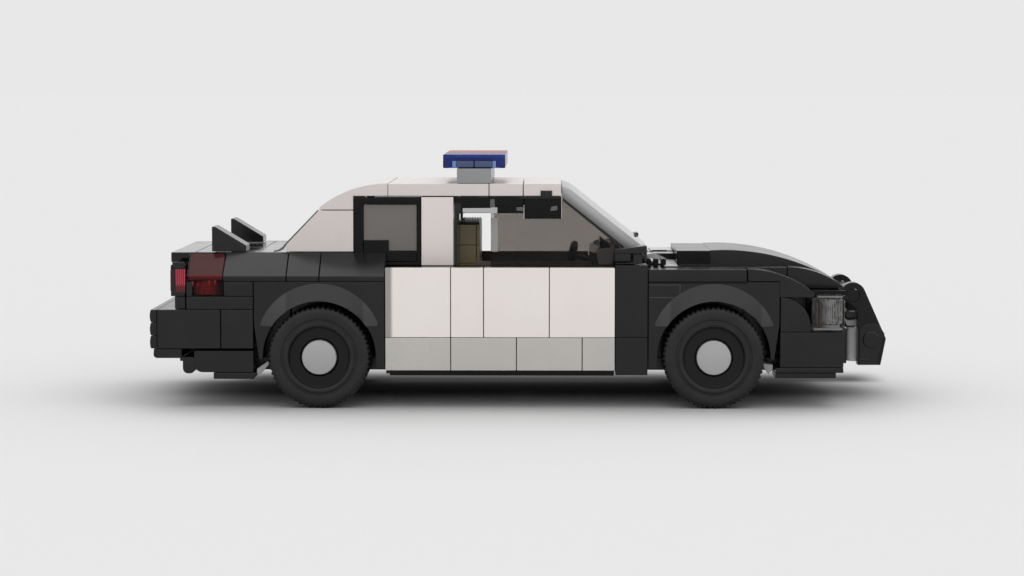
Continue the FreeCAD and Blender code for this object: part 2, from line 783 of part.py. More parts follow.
def shoulders():
    """Sloping shoulder bricks along the boot, the rearmost ones clear red."""
    outline = (
        (cabin_half + seam, lip_z),
        (body_half - seam, lip_z),
        (body_half - seam, lip_z + cell("slope_edge")),
        (cabin_half + seam, deck_z),
    )
    stations = (aft(-2.93), aft(-1), aft(0), aft(2))
    black = []
    for start, end in zip(stations, stations[1:]):
        black.extend(along_both(outline, (start + seam, end - seam)))
    subpart(group("shoulder_slopes", black))
    red = along_both(outline, (aft(-4.05) + seam, aft(-2.93) - seam))
    block = ((aft(-3.84), aft(-2.91)), (cabin_half, body_half), (shoulder_z + plate, lip_z))
    red += [brick(*row) for row in both_sides([block])]
    subpart(group("tail_lamp_blocks", red))


def tail():
    """The upright rear panel with a lens at each corner."""
    low = shoulder_z + plate
    top = deck_z - cell("boot_lip") - seam
    rim = cell("lens_rim")
    inset = cell("tail_inset")
    x = (aft(-4.52), aft(-4.07))
    corner = (cabin_half, body_half)
    rows = [
        (x, (-cabin_half, cabin_half), (low, top)),
        ((aft(-4.42), aft(-4.07)), (inset - body_half, body_half - inset), (shoulder_z, low)),
    ]
    rows += both_sides([(x, corner, (top - rim, top)), (x, corner, (low, low + rim))])
    subpart(bricks("tail_panel", rows))
    lens = [(x, (cabin_half, body_half - 2 * seam), (low + rim, top - rim))]
    subpart(bricks("tail_lenses", both_sides(lens)))


def rear_bumper():
    """A smooth bumper whose rear face is three ribs, one to a plate, above a stepped underside."""
    rib_x = tail_x + cell("rib_deep")
    bulge = cell("rib_bulge")
    ribs = []
    for level in range(3):
        low = bumper_z + level * plate
        high = low + plate - seam
        ribs.append(across((
            (tail_x + bulge, low),
            (rib_x, low),
            (rib_x, high),
            (tail_x + bulge, high, level_arc((plate - seam) / 2, bulge)),
        ), (seam - body_half, body_half - seam)))
    z = (bumper_z, shoulder_z)
    sides = both_sides([((aft(-3), aft(-2)), (chassis_half, body_half), z)])
    blocks = [((rib_x, aft(-3)), (-body_half, body_half), z)] + sides
    subpart(group("rear_bumper", ribs + [brick(*row) for row in blocks]))
    outer = body_half - cell("under_inset")
    low = base_z + cell("under_lift")
    under = both_sides([
        ((aft(-5.05), aft(-4.2)), (middle_y, outer), (bumper_z - cell("under_tooth"), bumper_z)),
        ((aft(-4.19), aft(-3.92)), (cabin_half, outer - cell("tail_inset")), (low, bumper_z)),
        ((aft(-3.92), aft(-2)), (chassis_half, outer), (low, bumper_z)),
        ((aft(-3.25), aft(-2)), (chassis_half, outer), (low - cell("under_keel"), low)),
    ])
    subpart(bricks("rear_underplates", under))


# Wheel arches and sides

def arch_blocks(label, axle_x, end, rows):
    """Side blocks round a wheel, with the wheel's space cut out, and the bricks beside them.

    The leg beside the door is square; the other one, at the car's end, narrows to its foot.
    """
    door = axle_x - end * (arch_half - seam)
    outer = axle_x + end * (arch_half - seam)
    toe = outer - end * cell("arch_toe")
    low = base_z + cell("arch_foot")
    chin = axle_height - cell("arch_chin")
    outline = [
        (toe, chin),
        (outer, beam_top - cell("arch_chin")),
        (outer, lip_z - seam),
        (door, lip_z - seam),
        (door, low),
        (door + end * arch_half, low),
        (door + end * arch_half, chin),
    ]
    if end < 0:
        outline.reverse()
    blocks = [brick(*row) for row in both_sides(rows)]
    for y in ((chassis_half + seam, body_half - seam), (seam - body_half, -chassis_half - seam)):
        block = across(outline, y)
        reach = (y[0] - pitch, y[1] + pitch)
        well = cylinder_y(axle_x, reach, axle_height, well_radius, "well")
        slot = doc.addObject("Part::Box", "slot")
        bind(slot, Length=2 * well_radius, Width=reach[1] - reach[0], Height=axle_height)
        bind(slot, Placement__Base__x=axle_x - well_radius, Placement__Base__y=reach[0])
        blocks.append(cut("arch", block, [well, slot]))
    subpart(group(label, blocks))


def arch_flares():
    """Flared rings that stand proud of the sides over the wheels."""
    flares = []
    proud = cell("wheel_proud") + cell("flare_proud")
    ring = well_radius + cell("flare_outer")
    for axle_x in (rear_axle, front_axle):
        for side in (-1, 1):
            cone = doc.addObject("Part::Cone", "flare")
            turn = FreeCAD.Rotation(FreeCAD.Vector(1, 0, 0), -90 * side)
            cone.Placement = FreeCAD.Placement(FreeCAD.Vector(), turn)
            bind(cone, Radius1=ring, Radius2=ring - cell("flare_wide"), Height=proud)
            bind(cone, Placement__Base__x=axle_x, Placement__Base__y=side * (body_half + seam / 5))
            bind(cone, Placement__Base__z=axle_height + cell("flare_rise"))
            y = (-body_half - 2 * proud, body_half + 2 * proud)
            well = cylinder_y(axle_x, y, axle_height, well_radius, "well")
            below = doc.addObject("Part::Box", "below")
            bind(below, Length=4 * ring, Width=y[1] - y[0], Height=axle_height + cell("flare_foot"))
            bind(below, Placement__Base__x=axle_x - 2 * ring, Placement__Base__y=y[0])
            flares.append(cut("flare_ring", cone, [well, below]))
    subpart(group("arch_flares", flares))


# Hood, fenders and nose

def fender_tops():
    """Flat tops beside the hood that curve down to the headlamps."""
    top = side_top
    flat = both_sides([((fore(-2), fore(1)), (cabin_half, body_half), (lip_z, top))])
    pieces = [brick(*row) for row in flat]
    run = 2.05 * pitch
    low = shoulder_z + plate - 2 * seam
    drop = top - low - 10 * seam
    outline = (
        (fore(1) + seam, lip_z + seam),
        (fore(2) - seam, lip_z + seam),
        (fore(2) - seam, low),
        (fore(3.05), low),
        (fore(3.05), top - drop, level_arc(run, drop)),
        (fore(1) + seam, top),
    )
    pieces += across_both(outline, (cabin_half + seam, body_half - seam))
    subpart(group("fender_tops", pieces))


def hood():
    """Raised centre of the hood behind a low cowl, with a step of bricks on each side of it."""
    low = deck_z - plate
    tip = shoulder_z + 1.5 * plate
    wide = (-hood_half, hood_half)
    pieces = [
        brick((fore(-2), fore(-1.05)), wide, (lip_z, low)),
        brick((fore(-1.05), fore(0.02)), wide, (low, deck_z)),
    ]
    run = fore(4) - fore(0.3)
    drop = deck_z - tip
    outline = (
        (fore(0.02) + seam, low),
        (fore(1.9), low),
        (fore(3.2), low - 2 * plate),
        (fore(4), low - 2 * plate),
        (fore(4), tip, level_arc(run, drop)),
        (fore(0.3), deck_z),
        (fore(0.02) + seam, deck_z),
    )
    pieces.append(across(outline, (-hood_half + seam, hood_half - seam)))
    subpart(group("hood_centre", pieces))

    y = (hood_half, cabin_half)
    side = [brick(*row) for row in both_sides([((fore(-2), fore(2.3)), y, (lip_z, side_top))])]
    outline = (
        (fore(2.3) + seam, tip - 2 * seam),
        (fore(4.07), tip - 2 * seam),
        (fore(4.07), tip, level_arc(1.77 * pitch, side_top - tip)),
        (fore(2.3) + seam, side_top),
    )
    side += across_both(outline, (hood_half + seam, cabin_half - seam))
    subpart(group("hood_sides", side))


def nose():
    """Headlamps at the corners, curved corner bricks beside them, and the grille between."""
    low = bumper_top
    lamp_y = (hood_half + pitch / 2, body_half)
    tip = grille_top - cell("lamp_drop")
    outline = (
        (fore(2.96), low + seam),
        (fore(3.96), low + seam),
        (fore(3.96), grille_top - seam),
        (fore(3.09), grille_top - seam),
        (fore(3.09), tip),
        (fore(2.96), tip),
    )
    subpart(group("headlamps", across_both(outline, (lamp_y[0] + seam, lamp_y[1] - seam))))
    outline = (
        (fore(2.02), low),
        (fore(2.94), low),
        (fore(2.94), low + cell("corner_edge"), level_arc(0.92 * pitch, 0.95 * pitch)),
        (fore(2.02), grille_top - cell("corner_drop")),
    )
    subpart(group("nose_corners", across_both(outline, (cabin_half + seam, body_half - seam))))
    grille_y = (-lamp_y[0], lamp_y[0])
    subpart(bricks("grille", [((fore(3.5), fore(4)), grille_y, (low, grille_top))]))


def front_bumper():
    """The bumper, a band and a chin under each end of it, and the brick between them."""
    x = (fore(2), fore(3.95))
    side = (chassis_half, body_half)
    chin = (chassis_half, body_half - cell("chin_inset"))
    band_top = base_z + cell("band_lift")
    band_low = band_top - cell("band_tall")
    rows = both_sides([
        (x, side, (band_top, bumper_top)),
        ((fore(1.88), fore(3.95)), side, (band_low, band_top)),
        ((fore(1.88), fore(3.74)), chin, (band_low - cell("chin_tall"), band_low)),
    ])
    rows.append(((fore(3), fore(4)), (-chassis_half, chassis_half), (base_z, bumper_top)))
    shin = hood_half - pitch / 2
    rows.append(((fore(4), fore(4) + plate - 6 * seam), (-shin, shin), (base_z + cell("push_foot"), beam_top - plate)))
    subpart(bricks("front_bumper", rows))


def push_bar():
    """Two uprights with round heads; the two bars that tie them end flush with their sides."""
    y = (hood_half - pitch / 2 + seam, hood_half - seam)
    back = nose_x - cell("push_deep")
    boss = (nose_x - cell("boss_back"), base_z + cell("boss_up"))
    head = (nose_x - cell("head_back"), base_z + cell("head_up"))
    round_head = cell("head_radius")
    foot = base_z + cell("push_foot")
    lean = math.radians(HEAD_LEAN)
    outline = (
        (back, foot),
        (nose_x - cell("push_toe"), foot),
        (nose_x, boss[1] + 5 * seam),
        (nose_x - 10 * seam, boss[1] + cell("boss_radius") + 6 * seam),
        (head[0] + math.cos(lean) * round_head, head[1] + math.sin(lean) * round_head, round_head),
        (head[0] - round_head, head[1]),
        (back, head[1] - round_head - 4 * seam),
    )
    bars = [
        cylinder_y(boss[0], (-y[1], y[1]), boss[1], cell("boss_radius"), "lower_bar"),
        cylinder_y(head[0], (-y[1], y[1]), head[1], cell("post_radius"), "upper_bar"),
    ]
    uprights = []
    for span in (y, (-y[1], -y[0])):
        reach = (span[0] - pitch / 8, span[1] + pitch / 8)
        holes = [
            cylinder_y(boss[0], reach, boss[1], cell("boss_radius") + seam, "lower_hole"),
            cylinder_y(head[0], reach, head[1], cell("post_radius") + seam, "upper_hole"),
        ]
        uprights.append(cut("upright", across(outline, span), holes))
    subpart(group("push_bar", uprights + bars))

    inner = hood_half - pitch
    clip_z = (base_z + cell("clip_up"), base_z + cell("clip_up") + cell("clip_tall"))
    clips = both_sides([((fore(4), back), (inner, inner + pitch / 2), clip_z)])
    subpart(bricks("push_bar_clips", clips))
    posts = []
    for middle in (inner + pitch / 4, -inner - pitch / 4):
        post = doc.addObject("Part::Cylinder", "post")
        bind(post, Radius=cell("post_radius"), Height=cell("post_tall"))
        bind(post, Placement__Base__x=back - 0.35 * cell("post_radius"))
        bind(post, Placement__Base__y=middle, Placement__Base__z=base_z + cell("post_up"))
        posts.append(post)
    subpart(group("push_bar_posts", posts))


# Light bar

def light_bar():
    """A hollow bar in two colours on a plate that runs across the roof."""
    middle = aft(4.69)
    half = cell("bar_long") / 2
    wall = cell("bar_wall")
    support_half = cell("support_long") / 2
    foot = ((middle - support_half, middle + support_half), (-cabin_half, cabin_half), (roof_z, bar_bottom))
    subpart(bricks("light_bar_support", [foot]))
    top = bar_bottom + cell("bar_tall")
    x = (middle - half, middle + half)
    for label, y in (
        ("light_bar_blue", (-cell("bar_half"), middle_y)),
        ("light_bar_red", (middle_y, cell("bar_half"))),
    ):
        shell = brick(x, y, (bar_bottom, top))
        hollow_x = (x[0] + wall, x[1] - wall)
        hollow = brick(hollow_x, (y[0] + wall, y[1] - wall), (bar_bottom - wall, top - wall))
        subpart(labelled(cut(label, shell, [hollow]), label))


wheels()
chassis()
axle_beams()
cores()
doors()
door_columns()
pillars()
rear_curve()
roof()
rear_side_windows()
rear_window()
windscreen()
front_side_windows()
furniture()
steering_wheel()
boot()
shoulders()
tail()
rear_bumper()
rear_sides = (
    ((aft(-4.05), aft(-2)), (chassis_half, body_half), (shoulder_z, shoulder_z + plate)),
    ((aft(-2.91), aft(-2)), (chassis_half, body_half), (shoulder_z + plate, lip_z)),
    ((aft(-4.05), aft(-3.84)), (chassis_half, body_half), (shoulder_z + plate, lip_z)),
)
arch_blocks("rear_quarters", rear_axle, -1, rear_sides)
arch_blocks("front_fenders", front_axle, 1, ())
arch_flares()
fender_tops()
hood()
nose()
front_bumper()
push_bar()
light_bar()

doc.recompute()

for item in doc.Objects:
    if "Invalid" in item.State or "Error" in item.State:
        raise RuntimeError(f"{item.Label} did not recompute: {item.State}")
for item in SUBPARTS:
    if item.Shape.isNull() or not item.Shape.isValid() or not item.Shape.Solids:
        raise RuntimeError(f"{item.Label} has no valid shape")

os.makedirs("parts", exist_ok=True)
for item in SUBPARTS:
    item.Shape.exportStep(f"parts/{item.Label}.step")
print(len(SUBPARTS), "sub-parts,", sum(len(item.Shape.Solids) for item in SUBPARTS), "solids")
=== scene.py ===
# %% [markdown]
# # A brick-built toy patrol car
#
# The real thing is a small car pressed together from plastic bricks: a black body, white doors and roof, smoke-brown
# windows, clear red and blue lamps and four rubber tyres. The solid bricks come from the CAD model, and this lesson
# gives them soft edges and real finishes, and builds the pieces whose charm is in small detail: tyre treads, studs,
# lenses, ribs and clips. Loading comes first, because every later step takes its places from what is loaded here.

# %% Load the fixed frame
import json
import math
import bmesh
import bpy
from mathutils import Matrix, Vector


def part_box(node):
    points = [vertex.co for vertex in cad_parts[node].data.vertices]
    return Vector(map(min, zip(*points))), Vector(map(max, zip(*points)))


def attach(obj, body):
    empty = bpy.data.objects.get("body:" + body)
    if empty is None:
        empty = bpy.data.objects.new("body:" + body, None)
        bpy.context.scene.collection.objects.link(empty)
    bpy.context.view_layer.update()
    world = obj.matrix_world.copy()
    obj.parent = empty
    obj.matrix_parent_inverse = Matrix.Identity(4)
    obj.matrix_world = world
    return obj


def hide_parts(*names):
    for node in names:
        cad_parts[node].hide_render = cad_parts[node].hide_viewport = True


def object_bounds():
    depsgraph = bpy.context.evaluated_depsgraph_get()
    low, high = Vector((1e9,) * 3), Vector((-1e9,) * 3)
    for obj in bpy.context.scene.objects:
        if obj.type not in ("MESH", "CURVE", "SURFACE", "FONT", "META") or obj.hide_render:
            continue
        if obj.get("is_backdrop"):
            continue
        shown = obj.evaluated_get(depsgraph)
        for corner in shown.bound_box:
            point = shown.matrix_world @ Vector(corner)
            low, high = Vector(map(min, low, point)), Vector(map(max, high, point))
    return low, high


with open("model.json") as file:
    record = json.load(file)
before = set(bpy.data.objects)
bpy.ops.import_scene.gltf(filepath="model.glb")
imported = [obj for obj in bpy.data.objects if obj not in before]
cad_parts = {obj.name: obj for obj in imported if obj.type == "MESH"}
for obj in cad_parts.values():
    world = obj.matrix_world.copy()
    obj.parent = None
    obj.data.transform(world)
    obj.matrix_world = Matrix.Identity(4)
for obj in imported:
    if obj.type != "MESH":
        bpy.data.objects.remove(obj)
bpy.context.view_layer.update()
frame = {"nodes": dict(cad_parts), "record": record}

# %% [markdown]
# ## Measures
# Such bricks follow one grid: studs are 8.0 mm apart, a plate is 3.2 mm high, and a stud is 4.8 mm wide and 1.7 mm
# tall. All sizes below are written in millimetres, as a toy maker would, and `MM` turns them into Blender's metres
# when a mesh is made. Typing metres everywhere would also work, but 0.0032 is easy to mistype and hard to read.

# %% Measures of the building grid
MM = 0.001
PITCH = 8.0
PLATE = 3.2
STUD_RADIUS = 2.4
STUD_TALL = 1.7


def corners(node):
    """Lowest and highest corner of a CAD node, in millimetres."""
    return tuple(tuple(value / MM for value in corner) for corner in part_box(node))


wheelbase = corners("rim_front_right")[0][0] - corners("rim_rear_right")[0][0]
print("wheelbase in mm", round(wheelbase, 2), "which is", round(wheelbase / PITCH, 2), "studs")

# %% [markdown]
# ## Camera
# A product picture of a toy is taken with a long lens from just above the roof line, so that upright edges stay
# upright. The camera stands about 67 cm from the middle of the car and looks down by a little over four degrees. A
# lens shift could replace the tilt, but it would follow the camera to every other view and push the car off centre.

# %% Camera
SENSOR = 36.0
LENS = 92.84
CAMERA_AT = (5.25, -671.3, 77.9)
LOOK_DOWN = 4.34
LOOK_ASIDE = 0.678
camera_data = bpy.data.cameras.new("side_camera")
camera_data.sensor_width = SENSOR
camera_data.lens = LENS
camera_data.clip_start = 0.02
camera_data.clip_end = 60
camera = bpy.data.objects.new("side_camera", camera_data)
bpy.context.scene.collection.objects.link(camera)
camera.location = Vector(CAMERA_AT) * MM
camera.rotation_euler = (math.radians(90 - LOOK_DOWN), 0.0, math.radians(LOOK_ASIDE))
bpy.context.scene.camera = camera
print("lens", LENS, "mm, distance", round(-CAMERA_AT[1]), "mm")

# %% [markdown]
# ## The white studio
# The toy stands in a white studio with light from all round. One plain grey world would give that, but then the
# backdrop and the light would always be equally bright. Here the world has four levels instead: `BACKGROUND` where
# the camera or a clear brick looks at it, `AROUND` where it only lights things, which keeps white bricks from burning
# out, and in glossy bricks a bright band, `CEILING`, that drops to `OVERHEAD` straight above, as a soft box with a
# dark middle does. The band starts low in the sky, so sloping bricks shine and upright ones stay dark.

# %% World and its sums
BACKGROUND = 0.807
CEILING = 1.7
OVERHEAD = 0.95
AROUND = 0.68
world = bpy.data.worlds.new("white_studio")
bpy.context.scene.world = world
world.use_nodes = True
sky = world.node_tree
sky.nodes.clear()


def sky_sum(operation, first, second):
    """One Math node of the world; each side is a socket or a number."""
    made = sky.nodes.new("ShaderNodeMath")
    made.operation = operation
    for socket, value in zip(made.inputs, (first, second)):
        if isinstance(value, float):
            socket.default_value = value
        else:
            sky.links.new(value, socket)
    return made.outputs[0]


print("background", BACKGROUND, "light around", AROUND)

# %% [markdown]
# ## What glossy bricks reflect
# The height of a direction in the sky is the Z of its Generated coordinate. Two smooth steps over that height are
# subtracted: the first rises from the background to the ceiling, the second takes away what is straight above.

# %% The ceiling that bricks reflect
CEILING_STEP = (0.1, 0.45, BACKGROUND, CEILING)
OVERHEAD_STEP = (0.5, 0.9, 0.0, CEILING - OVERHEAD)
direction = sky.nodes.new("ShaderNodeSeparateXYZ")
sky.links.new(sky.nodes.new("ShaderNodeTexCoord").outputs["Generated"], direction.inputs[0])
steps = []
for span in (CEILING_STEP, OVERHEAD_STEP):
    step = sky.nodes.new("ShaderNodeMapRange")
    step.interpolation_type = "SMOOTHSTEP"
    for socket, value in zip(("From Min", "From Max", "To Min", "To Max"), span):
        step.inputs[socket].default_value = value
    sky.links.new(direction.outputs["Z"], step.inputs["Value"])
    steps.append(step.outputs[0])
shine = sky_sum("SUBTRACT", *steps)
print("ceiling in gloss", CEILING, "overhead", OVERHEAD)

# %% [markdown]
# ## One level for each kind of ray
# Light Path tells which ray is asking. A chain of Mix nodes starts from the dim level, changes to the shine for
# glossy rays, and to the plain background for the camera and for rays that pass through clear bricks.

# %% Levels by ray
path = sky.nodes.new("ShaderNodeLightPath").outputs
plain = sky_sum("MAXIMUM", path["Is Camera Ray"], path["Is Transmission Ray"])
backdrop = sky.nodes.new("ShaderNodeBackground")
backdrop.inputs["Color"].default_value = (1, 1, 1, 1)
level = AROUND
for ray, shown in ((path["Is Glossy Ray"], shine), (plain, BACKGROUND)):
    blend = sky.nodes.new("ShaderNodeMix")
    blend.inputs[2].default_value = AROUND
    if not isinstance(level, float):
        sky.links.new(level, blend.inputs[2])
    if isinstance(shown, float):
        blend.inputs[3].default_value = shown
    else:
        sky.links.new(shown, blend.inputs[3])
    sky.links.new(ray, blend.inputs[0])
    level = blend.outputs[0]
sky.links.new(level, backdrop.inputs["Strength"])
world_end = sky.nodes.new("ShaderNodeOutputWorld")
sky.links.new(backdrop.outputs[0], world_end.inputs["Surface"])
print("world nodes", len(sky.nodes))

# %% [markdown]
# ## Soft boxes
# A wide soft box hangs above the toy and another stands towards the viewer. Area lamps would do that too, but they
# fade with distance and would leave the floor darker at the back. Sun lamps with a very wide angle act as soft boxes
# that never fade, so the floor stays even and only the car's own soft shadow shows.

# %% Soft boxes
def soft_box(name, strength, spread, tilt, turn):
    """A sun lamp as wide as a soft box; tilt is from straight down, turn is about the upright axis."""
    lamp = bpy.data.lights.new(name, "SUN")
    lamp.energy = strength
    lamp.angle = math.radians(spread)
    holder = bpy.data.objects.new(name, lamp)
    holder.rotation_euler = (math.radians(tilt), 0.0, math.radians(turn))
    bpy.context.scene.collection.objects.link(holder)
    return holder


soft_box("box_above", 1.0, 70, -8, -4)
soft_box("box_front", 1.0, 110, 78, 0)
print("lamps", [lamp.name for lamp in bpy.data.lights])

# %% [markdown]
# ## Shader sums
# A procedural finish is a sum of noises, masks and colours. Wiring that by hand takes dozens of lines, so the class
# `Wire` wraps one socket: `mask * 0.2 + 0.8` adds the Math nodes by itself, colours go through Mix nodes and vectors
# through Vector Math nodes. Any other node comes from `node`, which takes its type, its settings and its inputs.

# %% The Wire class
class Wire:
    """One output socket of a shader node, which can be used in sums as a number is."""

    def __init__(self, socket):
        self.socket = socket

    def node(self, kind, settings=None, inputs=None, out=0):
        """Adds a node of any kind to this wire's tree, sets it up, fills its sockets and gives its output."""
        made = self.socket.id_data.nodes.new(kind)
        for name, value in (settings or {}).items():
            if name == "stops":
                stops = made.color_ramp.elements
                while len(stops) < len(value):
                    stops.new(1.0)
                for stop, (place, shade) in zip(stops, value):
                    stop.position = place
                    stop.color = (shade, shade, shade, 1) if isinstance(shade, float) else (*shade, 1)
            else:
                setattr(made, name, value)
        for name, value in (inputs or {}).items():
            feed(value, made.inputs[name])
        return Wire(made.outputs[out])

    def joined(self, operation, first, second):
        """Puts two values, colours or vectors through the node that suits them."""
        kinds = {side.socket.type for side in (first, second) if isinstance(side, Wire)}
        if "RGBA" in kinds:
            mix = {"data_type": "RGBA", "blend_type": operation}
            return self.node("ShaderNodeMix", mix, {0: 1.0, 6: first, 7: second}, 2)
        if "VECTOR" in kinds:
            return self.node("ShaderNodeVectorMath", {"operation": operation}, {0: first, 1: second})
        return self.node("ShaderNodeMath", {"operation": operation}, {0: first, 1: second})

    def __add__(self, other):
        return self.joined("ADD", self, other)

    def __radd__(self, other):
        return self.joined("ADD", other, self)

    def __sub__(self, other):
        return self.joined("SUBTRACT", self, other)

    def __rsub__(self, other):
        return self.joined("SUBTRACT", other, self)

    def __mul__(self, other):
        return self.joined("MULTIPLY", self, other)

    def __rmul__(self, other):
        return self.joined("MULTIPLY", other, self)

    def above(self, edge, soft):
        """0 below the edge and 1 above it, with a soft step between."""
        span = {"From Min": edge - soft, "From Max": edge + soft}
        return self.node("ShaderNodeMapRange", {"interpolation_type": "SMOOTHSTEP"}, {"Value": self, **span})

    def part(self, axis):
        """The x, y or z of this position: 0, 1 or 2."""
        return self.node("ShaderNodeSeparateXYZ", None, {0: self}, axis)

    def near(self, middle, half, soft):
        """1 within `half` of the middle and 0 further away, with a soft edge."""
        away = self.node("ShaderNodeMath", {"operation": "ABSOLUTE"}, {0: self - middle})
        return 1.0 - away.above(half, soft)

    def blend(self, low, high):
        """A colour between low and high, as this mask says."""
        return self.node("ShaderNodeMix", {"data_type": "RGBA"}, {0: self, 6: low, 7: high}, 2)

    def noise(self, fineness, detail=3.0, stretch=None):
        """Noise over this position; fineness is in waves for each millimetre."""
        place = self if stretch is None else self * stretch
        inputs = {"Vector": place, "Scale": fineness, "Detail": detail}
        return self.node("ShaderNodeTexNoise", None, inputs)


def feed(value, socket):
    """Links a wire to a socket, or sets the socket to a plain number or tuple."""
    if isinstance(value, Wire):
        socket.id_data.links.new(value.socket, socket)
    elif socket.type == "RGBA":
        socket.default_value = (value,) * 3 + (1,) if isinstance(value, (int, float)) else (*value[:3], 1)
    elif socket.type == "VECTOR" and isinstance(value, (int, float)):
        socket.default_value = (value,) * 3
    else:
        socket.default_value = value


print("sums ready")

# %% [markdown]
# ## Finishes
# Every finish starts from the position on the toy in millimetres, taken from Object coordinates, so a pattern keeps
# its true size on every piece. `finish` makes the material and its Principled shader. Numbers that are the same all
# over a surface are set straight on the shader's sockets, and only what changes over the surface is wired.

# %% Starting a finish
FINISHES = {}


def finish(name, **constants):
    """A new material: gives the position on the toy in millimetres and the shader to feed."""
    material = bpy.data.materials.new(name)
    material.use_nodes = True
    tree = material.node_tree
    tree.nodes.clear()
    shader = tree.nodes.new("ShaderNodeBsdfPrincipled")
    for socket, value in constants.items():
        feed(value, shader.inputs[socket.replace("_", " ")])
    end = tree.nodes.new("ShaderNodeOutputMaterial")
    tree.links.new(shader.outputs[0], end.inputs["Surface"])
    place = Wire(tree.nodes.new("ShaderNodeTexCoord").outputs["Object"])
    FINISHES[name] = material
    return place * 1000.0, shader


def dress(shader, colour=None, roughness=None, height=None, deep=0.02):
    """Feeds a shader; height is a relief whose full depth is `deep` millimetres."""
    if colour is not None:
        feed(colour, shader.inputs["Base Color"])
    if roughness is not None:
        feed(roughness, shader.inputs["Roughness"])
    if height is not None:
        inputs = {"Height": height, "Distance": deep * MM, "Strength": 1.0}
        feed(height.node("ShaderNodeBump", None, inputs), shader.inputs["Normal"])


print("finishes start at", MM, "m for each millimetre")

# %% [markdown]
# ## Moulded plastic
# The bricks are injection moulded in one polished tool, so they are glossy and nearly flat, yet not perfect: the
# plastic shrinks in long faint waves, the gloss is uneven where hands have touched it, and handling leaves hair-fine
# scratches. A scratch is a narrow band of a noise that is stretched along one direction, and two of those at
# different angles look like use. A painted texture would tie the finish to one brick, while noise fits them all.

# %% Glossy plastic in any colour
HAIR_WIDTH = 0.004
HAIR_STRETCH = (0.10, 1.0, 2.6)
WAVE_DEEP = 0.05


def hair_scratches(place, turn):
    """Fine lines that run mostly one way: a thin slice of a stretched noise."""
    settings = {"rotation_type": "AXIS_ANGLE"}
    turned = place.node("ShaderNodeVectorRotate", settings, {"Vector": place, "Axis": (0.3, 1.0, 0.2), "Angle": turn})
    lines = turned.noise(0.9, 1.0, stretch=HAIR_STRETCH)
    return lines.near(0.5, HAIR_WIDTH, HAIR_WIDTH)


def moulded_plastic(name, colour, lighter, gloss, refraction, painted_light_spans=(), painted_light_tone=None, axis=0):
    """Glossy plastic: two close tones, uneven gloss, faint waves and hair-fine scratches.

    Each span is the (middle, half width) of a stretch along one axis of the car that turns softly to another tone:
    painted light where that tone is lighter, painted shade where it is darker.
    """
    place, shader = finish(name, IOR=refraction)
    cloud = place.noise(0.06, 2.0)
    grain = place.noise(1.4, 2.0)
    marks = hair_scratches(place, 0.5) + hair_scratches(place, 2.1)
    handled = place.noise(0.11, 3.0).above(0.55, 0.15)
    tone = cloud.above(0.5, 0.3).blend(colour, lighter)
    # each span softly paints in its tone: a highlight where it is lighter, a shade where it is darker
    for middle, half in painted_light_spans:
        tone = place.part(axis).near(middle, half, 0.5).blend(tone, painted_light_tone)
    rough = gloss + 0.05 * grain + 0.06 * handled + 0.10 * marks * handled
    waves = place.noise(0.16, 1.0) + grain * 0.04 - marks * handled * 0.05
    dress(shader, tone, rough, waves, WAVE_DEEP)


print("scratches are bands", HAIR_WIDTH, "wide in the noise")

# %% [markdown]
# ## Plastics of the body
# Black and white bricks make up the body. Each finish is two close tones, a gloss and a refraction, which sets how
# strongly the brick mirrors its surroundings: a low one for bricks in the shade of others, a high one for the white
# ones. Where a door meets the next brick, a painted shade darkens its end over a few millimetres, and the ends of the
# flared arches get a painted highlight. Darker copies of the white and of the black paint the shade that the pillars,
# the roof, the lower door panels, the push bar and bricks among others stand in.

# %% Body plastics
BLACK = ((0.0045, 0.0045, 0.0048), (0.0065, 0.0065, 0.0068))
WHITE = ((0.785, 0.73, 0.695), (0.81, 0.76, 0.725))
# the doors' rear ends darken softly: a painted shade where the door meets the next brick
DOOR_SHADE_SPANS = [(-33.5, 1.9)]
DOOR_END_PAINTED_SHADE = (0.30, 0.285, 0.275)
# the flared arches' ends are lighter: a painted highlight of the light their facets catch
FLARE_HIGHLIGHT_SPANS = [(-60.6, 3.3), (-36.6, 1.9), (33.9, 2.3), (60.2, 1.9)]
FLARE_END_PAINTED_HIGHLIGHT = (0.024, 0.024, 0.024)
moulded_plastic("black_plastic", *BLACK, 0.16, 1.36)
moulded_plastic("deck_plastic", *BLACK, 0.04, 1.36)
moulded_plastic("flare_black_painted_end_highlight", *BLACK, 0.18, 1.36, FLARE_HIGHLIGHT_SPANS, FLARE_END_PAINTED_HIGHLIGHT)
moulded_plastic("white_plastic", *WHITE, 0.18, 1.46)
moulded_plastic("door_white_painted_end_shade", *WHITE, 0.18, 1.46, DOOR_SHADE_SPANS, DOOR_END_PAINTED_SHADE)
# darker copies of the white paint the shade on the pillars, the roof, the centre posts and the lower door panels
moulded_plastic("pillar_white_painted_shade", (0.615, 0.562, 0.543), (0.64, 0.592, 0.573), 0.18, 1.46)
moulded_plastic("centre_post_white_painted_shade", (0.68, 0.62, 0.60), (0.70, 0.645, 0.62), 0.18, 1.46)
moulded_plastic("sill_white_painted_shade", (0.47, 0.455, 0.425), (0.50, 0.48, 0.45), 0.2, 1.46)
# a darker, less mirroring black paints shade on the push bar
moulded_plastic("push_bar_painted_shade", (0.0035, 0.0035, 0.0037), (0.005, 0.005, 0.0052), 0.2, 1.29)
moulded_plastic("rim_plastic", (0.004, 0.004, 0.004), (0.006, 0.006, 0.006), 0.3, 1.27)
# a still darker, less mirroring black paints the shade on bricks that stand among others
moulded_plastic("painted_deep_shade_black", (0.003, 0.003, 0.003), (0.004, 0.004, 0.004), 0.25, 1.22)
print("body finishes", len(FINISHES))
